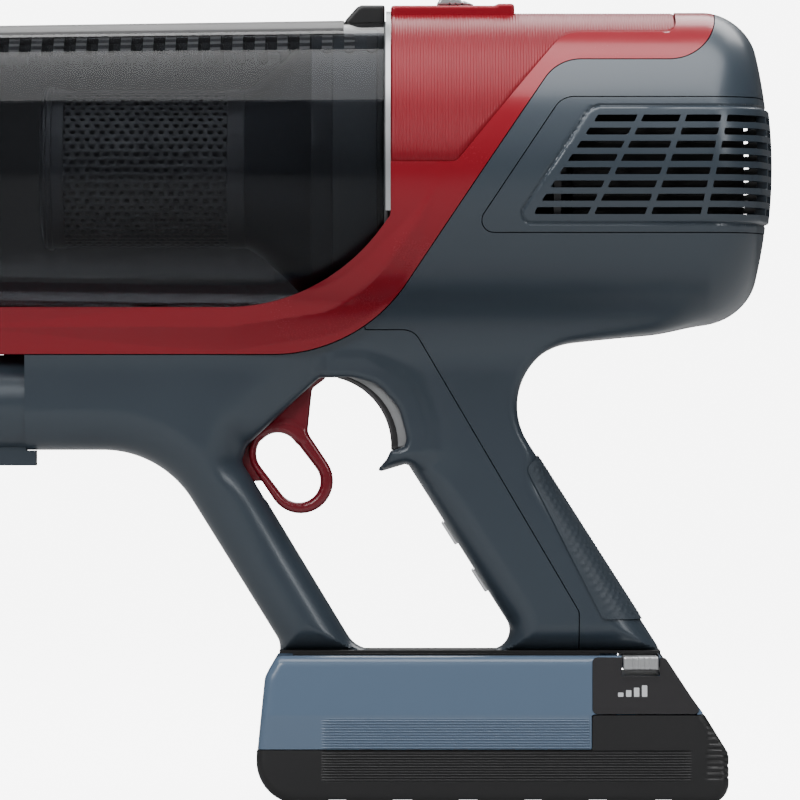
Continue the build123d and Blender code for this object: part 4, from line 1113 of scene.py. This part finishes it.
# ---- battery ----------------------------------------------------------------------------------
class VACUUM_OT_battery(bpy.types.Operator):
    """Battery cases with creased, ribbed flanks, gloss panels and a charge display"""
    bl_idname = "vacuum.battery"
    bl_label = "Battery"

    def execute(self, context):
        up, down, panel = small(BATTERY_UP, 0.6), small(BATTERY_LOW, 0.6), small(PANEL)
        whole = small([(-33, 22, 0), (-29.6, 53, 6), (-24.5, 61.7, 4), (135.4, 61.7, 3), (163.4, 24, 4),
                       (163.5, 0, 9), (-33.5, 0, 18)], 0.6)
        half = span("battery_lower")[1][1]

        def case(x, y, z):
            """Pack outline with rounded edges, its flanks drawn in above and below the crease."""
            lean = LEAN_ABOVE * np.maximum(z - CREASE_Z, 0) + LEAN_BELOW * np.clip(CREASE_Z - z, 0, 15)
            return round_both(np.abs(y) - half + 0.15 + lean, whole(x, z), 4.0)
        moulding("pack_upper", [
            case, lambda x, y, z: up(x, z) + 0.1,
            lambda x, y, z: -np.maximum(np.abs(y) - 24.6, np.maximum(np.abs(x - 40) - 90, 54.5 - z)),
            lambda x, y, z: -key_window(x, z),
            lambda x, y, z: -np.maximum(panel(x, z), half - 3.0 - np.abs(y))],
            (-35, -39, 21), (155, 39, 63), 1.1, "battery", "battery_blue", "battery_blue", ["battery_upper"])

        def base(x, y, z):
            """Lower case with the stand notches and a serrated rear edge."""
            notch = 99.0
            for at in NOTCHES:
                notch = np.minimum(notch, np.maximum(np.abs(x - at) - 4.4, z - 1.9))
            teeth = 0.5 * (1 - ramp(np.abs((z - 10) % 2.4 - 1.2), 0.1, 0.9)) * ramp(x, 150, 156)
            teeth = teeth * (z > 9) * (z < 35)
            return np.maximum(case(x, y, z) + teeth, -notch)
        moulding("pack_lower", [base, lambda x, y, z: down(x, z) + 0.1],
                 (-35, -39, -1), (166, 39, 39), 1.1, "battery", "black_plastic", "black_moulding",
                 ["battery_lower"])
        # ribbed flanks: a sheet whose thickness follows a row of ribs
        count = 190
        foot, top = 8.5, 36.6
        z = np.linspace(foot, top, count)
        x = np.linspace(-8, 150, 40)
        xx, zz = np.meshgrid(x, z, indexing="ij")
        xx = xx - np.maximum(0, (xx - 100) / 50) * np.maximum(0, zz - 22) * 0.25
        ribs = np.abs(np.sin(math.pi * (zz - foot) / 1.12))
        edge = ramp(np.minimum(np.minimum(xx - xx[0], xx[-1] - xx), np.minimum(zz - foot, top - zz)), 0, 1.2)
        for side, name in ((1, "right"), (-1, "left")):
            for part, slot_name, finish_name, mask in (
                    ("upper", "battery_blue", "battery_blue", (z > 23.2)),
                    ("lower", "black_plastic", "black_moulding", (z < 22.6))):
                reach = x < 105.6 if part == "upper" else x < 200
                pick = np.ix_(reach, mask)
                lean = LEAN_BELOW * np.clip(CREASE_Z - zz[pick], 0, 15)
                depth = half - 0.5 + (0.75 * ribs * edge)[pick] - lean
                outer = np.stack((xx[pick], side * depth, zz[pick]), -1)
                inner = np.stack((xx[pick], side * (half - 3 + 0 * depth), zz[pick]), -1)
                verts, faces = sheet(outer, inner)
                mesh_piece(f"ribs_{part}_{name}", verts, outward(verts, faces), "battery", slot_name,
                           finish_name, angle=75)
            middle = side * (half - 1.6)
            moulding(f"gloss_{name}", [slab(panel, 1.6, 0.35, middle), lambda x, y, z: panel(x, z) + 0.15,
                                       lambda x, y, z: np.abs(y) - half + 0.05 + LEAN_ABOVE * (z - CREASE_Z),
                                       lambda x, y, z: -key_window(x, z)],
                     (105, middle - 2.4, 36), (154, middle + 2.4, 63), 0.6, "battery",
                     "panel_gloss", "dark_gloss", [f"panel_{name}", f"side_{name}"])
            # charge display: four short bars that grow in height
            for k in range(4):
                bar = small(np.array([(-1.1, -1.2), (1.1, -1.2), (1.1, 0.6 + k), (-1.1, 0.6 + k)])
                            + (118.3 + 3.3 * k, 46.0))
                skin = half - 0.05 - LEAN_ABOVE * 10.0
                moulding(f"charge_bar_{k}_{name}",
                         [slab(bar, 0.5, 0.2, side * (skin - 0.1)),
                          lambda x, y, z: np.abs(y) - half - 0.06 + LEAN_ABOVE * (z - CREASE_Z)],
                         (116, side * skin - 1.2, 43.5), (131, side * skin + 1.2, 51), 0.3,
                         "battery", "silver_plastic", "display_white")
        return {"FINISHED"}


# ---- stage --------------------------------------------------------------------------------
class VACUUM_OT_stage(bpy.types.Operator):
    """Pale sweep, softboxes and camera"""
    bl_idname = "vacuum.stage"
    bl_label = "Stage"

    def execute(self, context):
        # dish: flat floor, quarter turn and wall, carried round an upright axis
        turn = np.linspace(0, math.pi / 2, 24)
        out = np.concatenate((np.linspace(0.001, 5, 6), 5 + 4 * np.sin(turn[1:]), [9.0]))
        up = np.concatenate((np.zeros(6), 4 * (1 - np.cos(turn[1:])), [12.0]))
        angle = np.linspace(0, 2 * math.pi, 96, endpoint=False)
        verts = np.stack((out[:, None] * np.cos(angle), out[:, None] * np.sin(angle),
                          up[:, None] + 0 * angle), -1).reshape(-1, 3)
        mesh = bpy.data.meshes.new("sweep")
        mesh.from_pydata(verts.tolist(), [], grid_faces(len(out), 96, False, True).tolist())
        mesh.shade_smooth()
        sweep = bpy.data.objects.new("sweep", mesh)
        context.scene.collection.objects.link(sweep)
        paper = finish("sweep_paper", (0.38, 0.38, 0.38), rough=0.9, mottle=0.02, grain=40, bump=0.0,
                       wear=0.0)
        tree = paper.node_tree
        shader = tree.nodes["Principled BSDF"]
        shader.inputs["Emission Color"].default_value = (1, 1, 1, 1)
        seen = add_node(tree, "LightPath").outputs["Is Camera Ray"]
        glow = math_node(tree, "ADD", math_node(tree, "MULTIPLY", seen, 7.0), 0.05)
        feed(tree, shader.inputs["Emission Strength"], glow)
        mesh.materials.append(paper)

        def softbox(name, place, width, height, power, aim=(0, 0, 0.25)):
            """Rectangular light that faces the point it is aimed at."""
            light = bpy.data.lights.new(name, "AREA")
            light.shape = "RECTANGLE"
            light.size, light.size_y = width, height
            light.energy = power
            box = bpy.data.objects.new(name, light)
            context.scene.collection.objects.link(box)
            box.location = place
            way = np.array(place) - np.array(aim)
            box.rotation_euler = (math.acos(way[2] / np.linalg.norm(way)), 0,
                                  math.atan2(way[1], way[0]) + math.pi / 2)
        softbox("top_box", (-0.05, -0.25, 1.5), 1.8, 1.2, 36)
        softbox("front_box", (-0.9, -1.9, 1.3), 1.0, 0.8, 27, (0, 0, 0.2))
        softbox("side_box", (1.2, -1.3, 1.0), 0.4, 0.9, 8, (0, 0, 0.2))
        softbox("back_box", (0.2, 1.1, 1.2), 1.4, 0.6, 12)
        world = bpy.data.worlds.new("studio")
        context.scene.world = world
        world.use_nodes = True
        sky = world.node_tree.nodes["Background"].inputs
        sky["Color"].default_value = (0.95, 0.96, 1.0, 1)
        sky["Strength"].default_value = 0.14

        camera = bpy.data.cameras.new("camera")
        camera.lens = LENS
        camera.sensor_width = SENSOR
        camera.clip_end = 20
        view = bpy.data.objects.new("camera", camera)
        context.scene.collection.objects.link(view)
        view.location = CAMERA_PLACE
        view.rotation_euler = (math.pi / 2, 0, 0)
        context.scene.camera = view
        return {"FINISHED"}


class VACUUM_PT_panel(bpy.types.Panel):
    """Lists the pieces in the order they are made"""
    bl_idname = "VACUUM_PT_panel"
    bl_label = "Hand-held vacuum"
    bl_space_type = "VIEW_3D"
    bl_region_type = "UI"
    bl_category = "Vacuum"

    def draw(self, context):
        for operator in OPERATORS:
            self.layout.operator(operator.bl_idname)
        for group in (context.scene.vacuum_colours, context.scene.vacuum_sizes):
            for key in group.__annotations__:
                self.layout.prop(group, key)


OPERATORS = [VACUUM_OT_materials, VACUUM_OT_frame, VACUUM_OT_rear, VACUUM_OT_band,
             VACUUM_OT_ribbed_cover, VACUUM_OT_grille, VACUUM_OT_controls, VACUUM_OT_grip_pad,
             VACUUM_OT_bin_inside, VACUUM_OT_battery, VACUUM_OT_stage]
CLASSES = [VacuumColours, VacuumSizes, *OPERATORS, VACUUM_PT_panel]


def register():
    """Register the classes and hang the settings on the scene."""
    for cls in CLASSES:
        bpy.utils.register_class(cls)
    bpy.types.Scene.vacuum_colours = bpy.props.PointerProperty(type=VacuumColours)
    bpy.types.Scene.vacuum_sizes = bpy.props.PointerProperty(type=VacuumSizes)


def unregister():
    """Undo register."""
    del bpy.types.Scene.vacuum_sizes
    del bpy.types.Scene.vacuum_colours
    for cls in reversed(CLASSES):
        bpy.utils.unregister_class(cls)


def main():
    register()
    for operator in OPERATORS:
        group, name = operator.bl_idname.split(".")
        getattr(getattr(bpy.ops, group), name)()


if __name__ == "__main__":
    main()
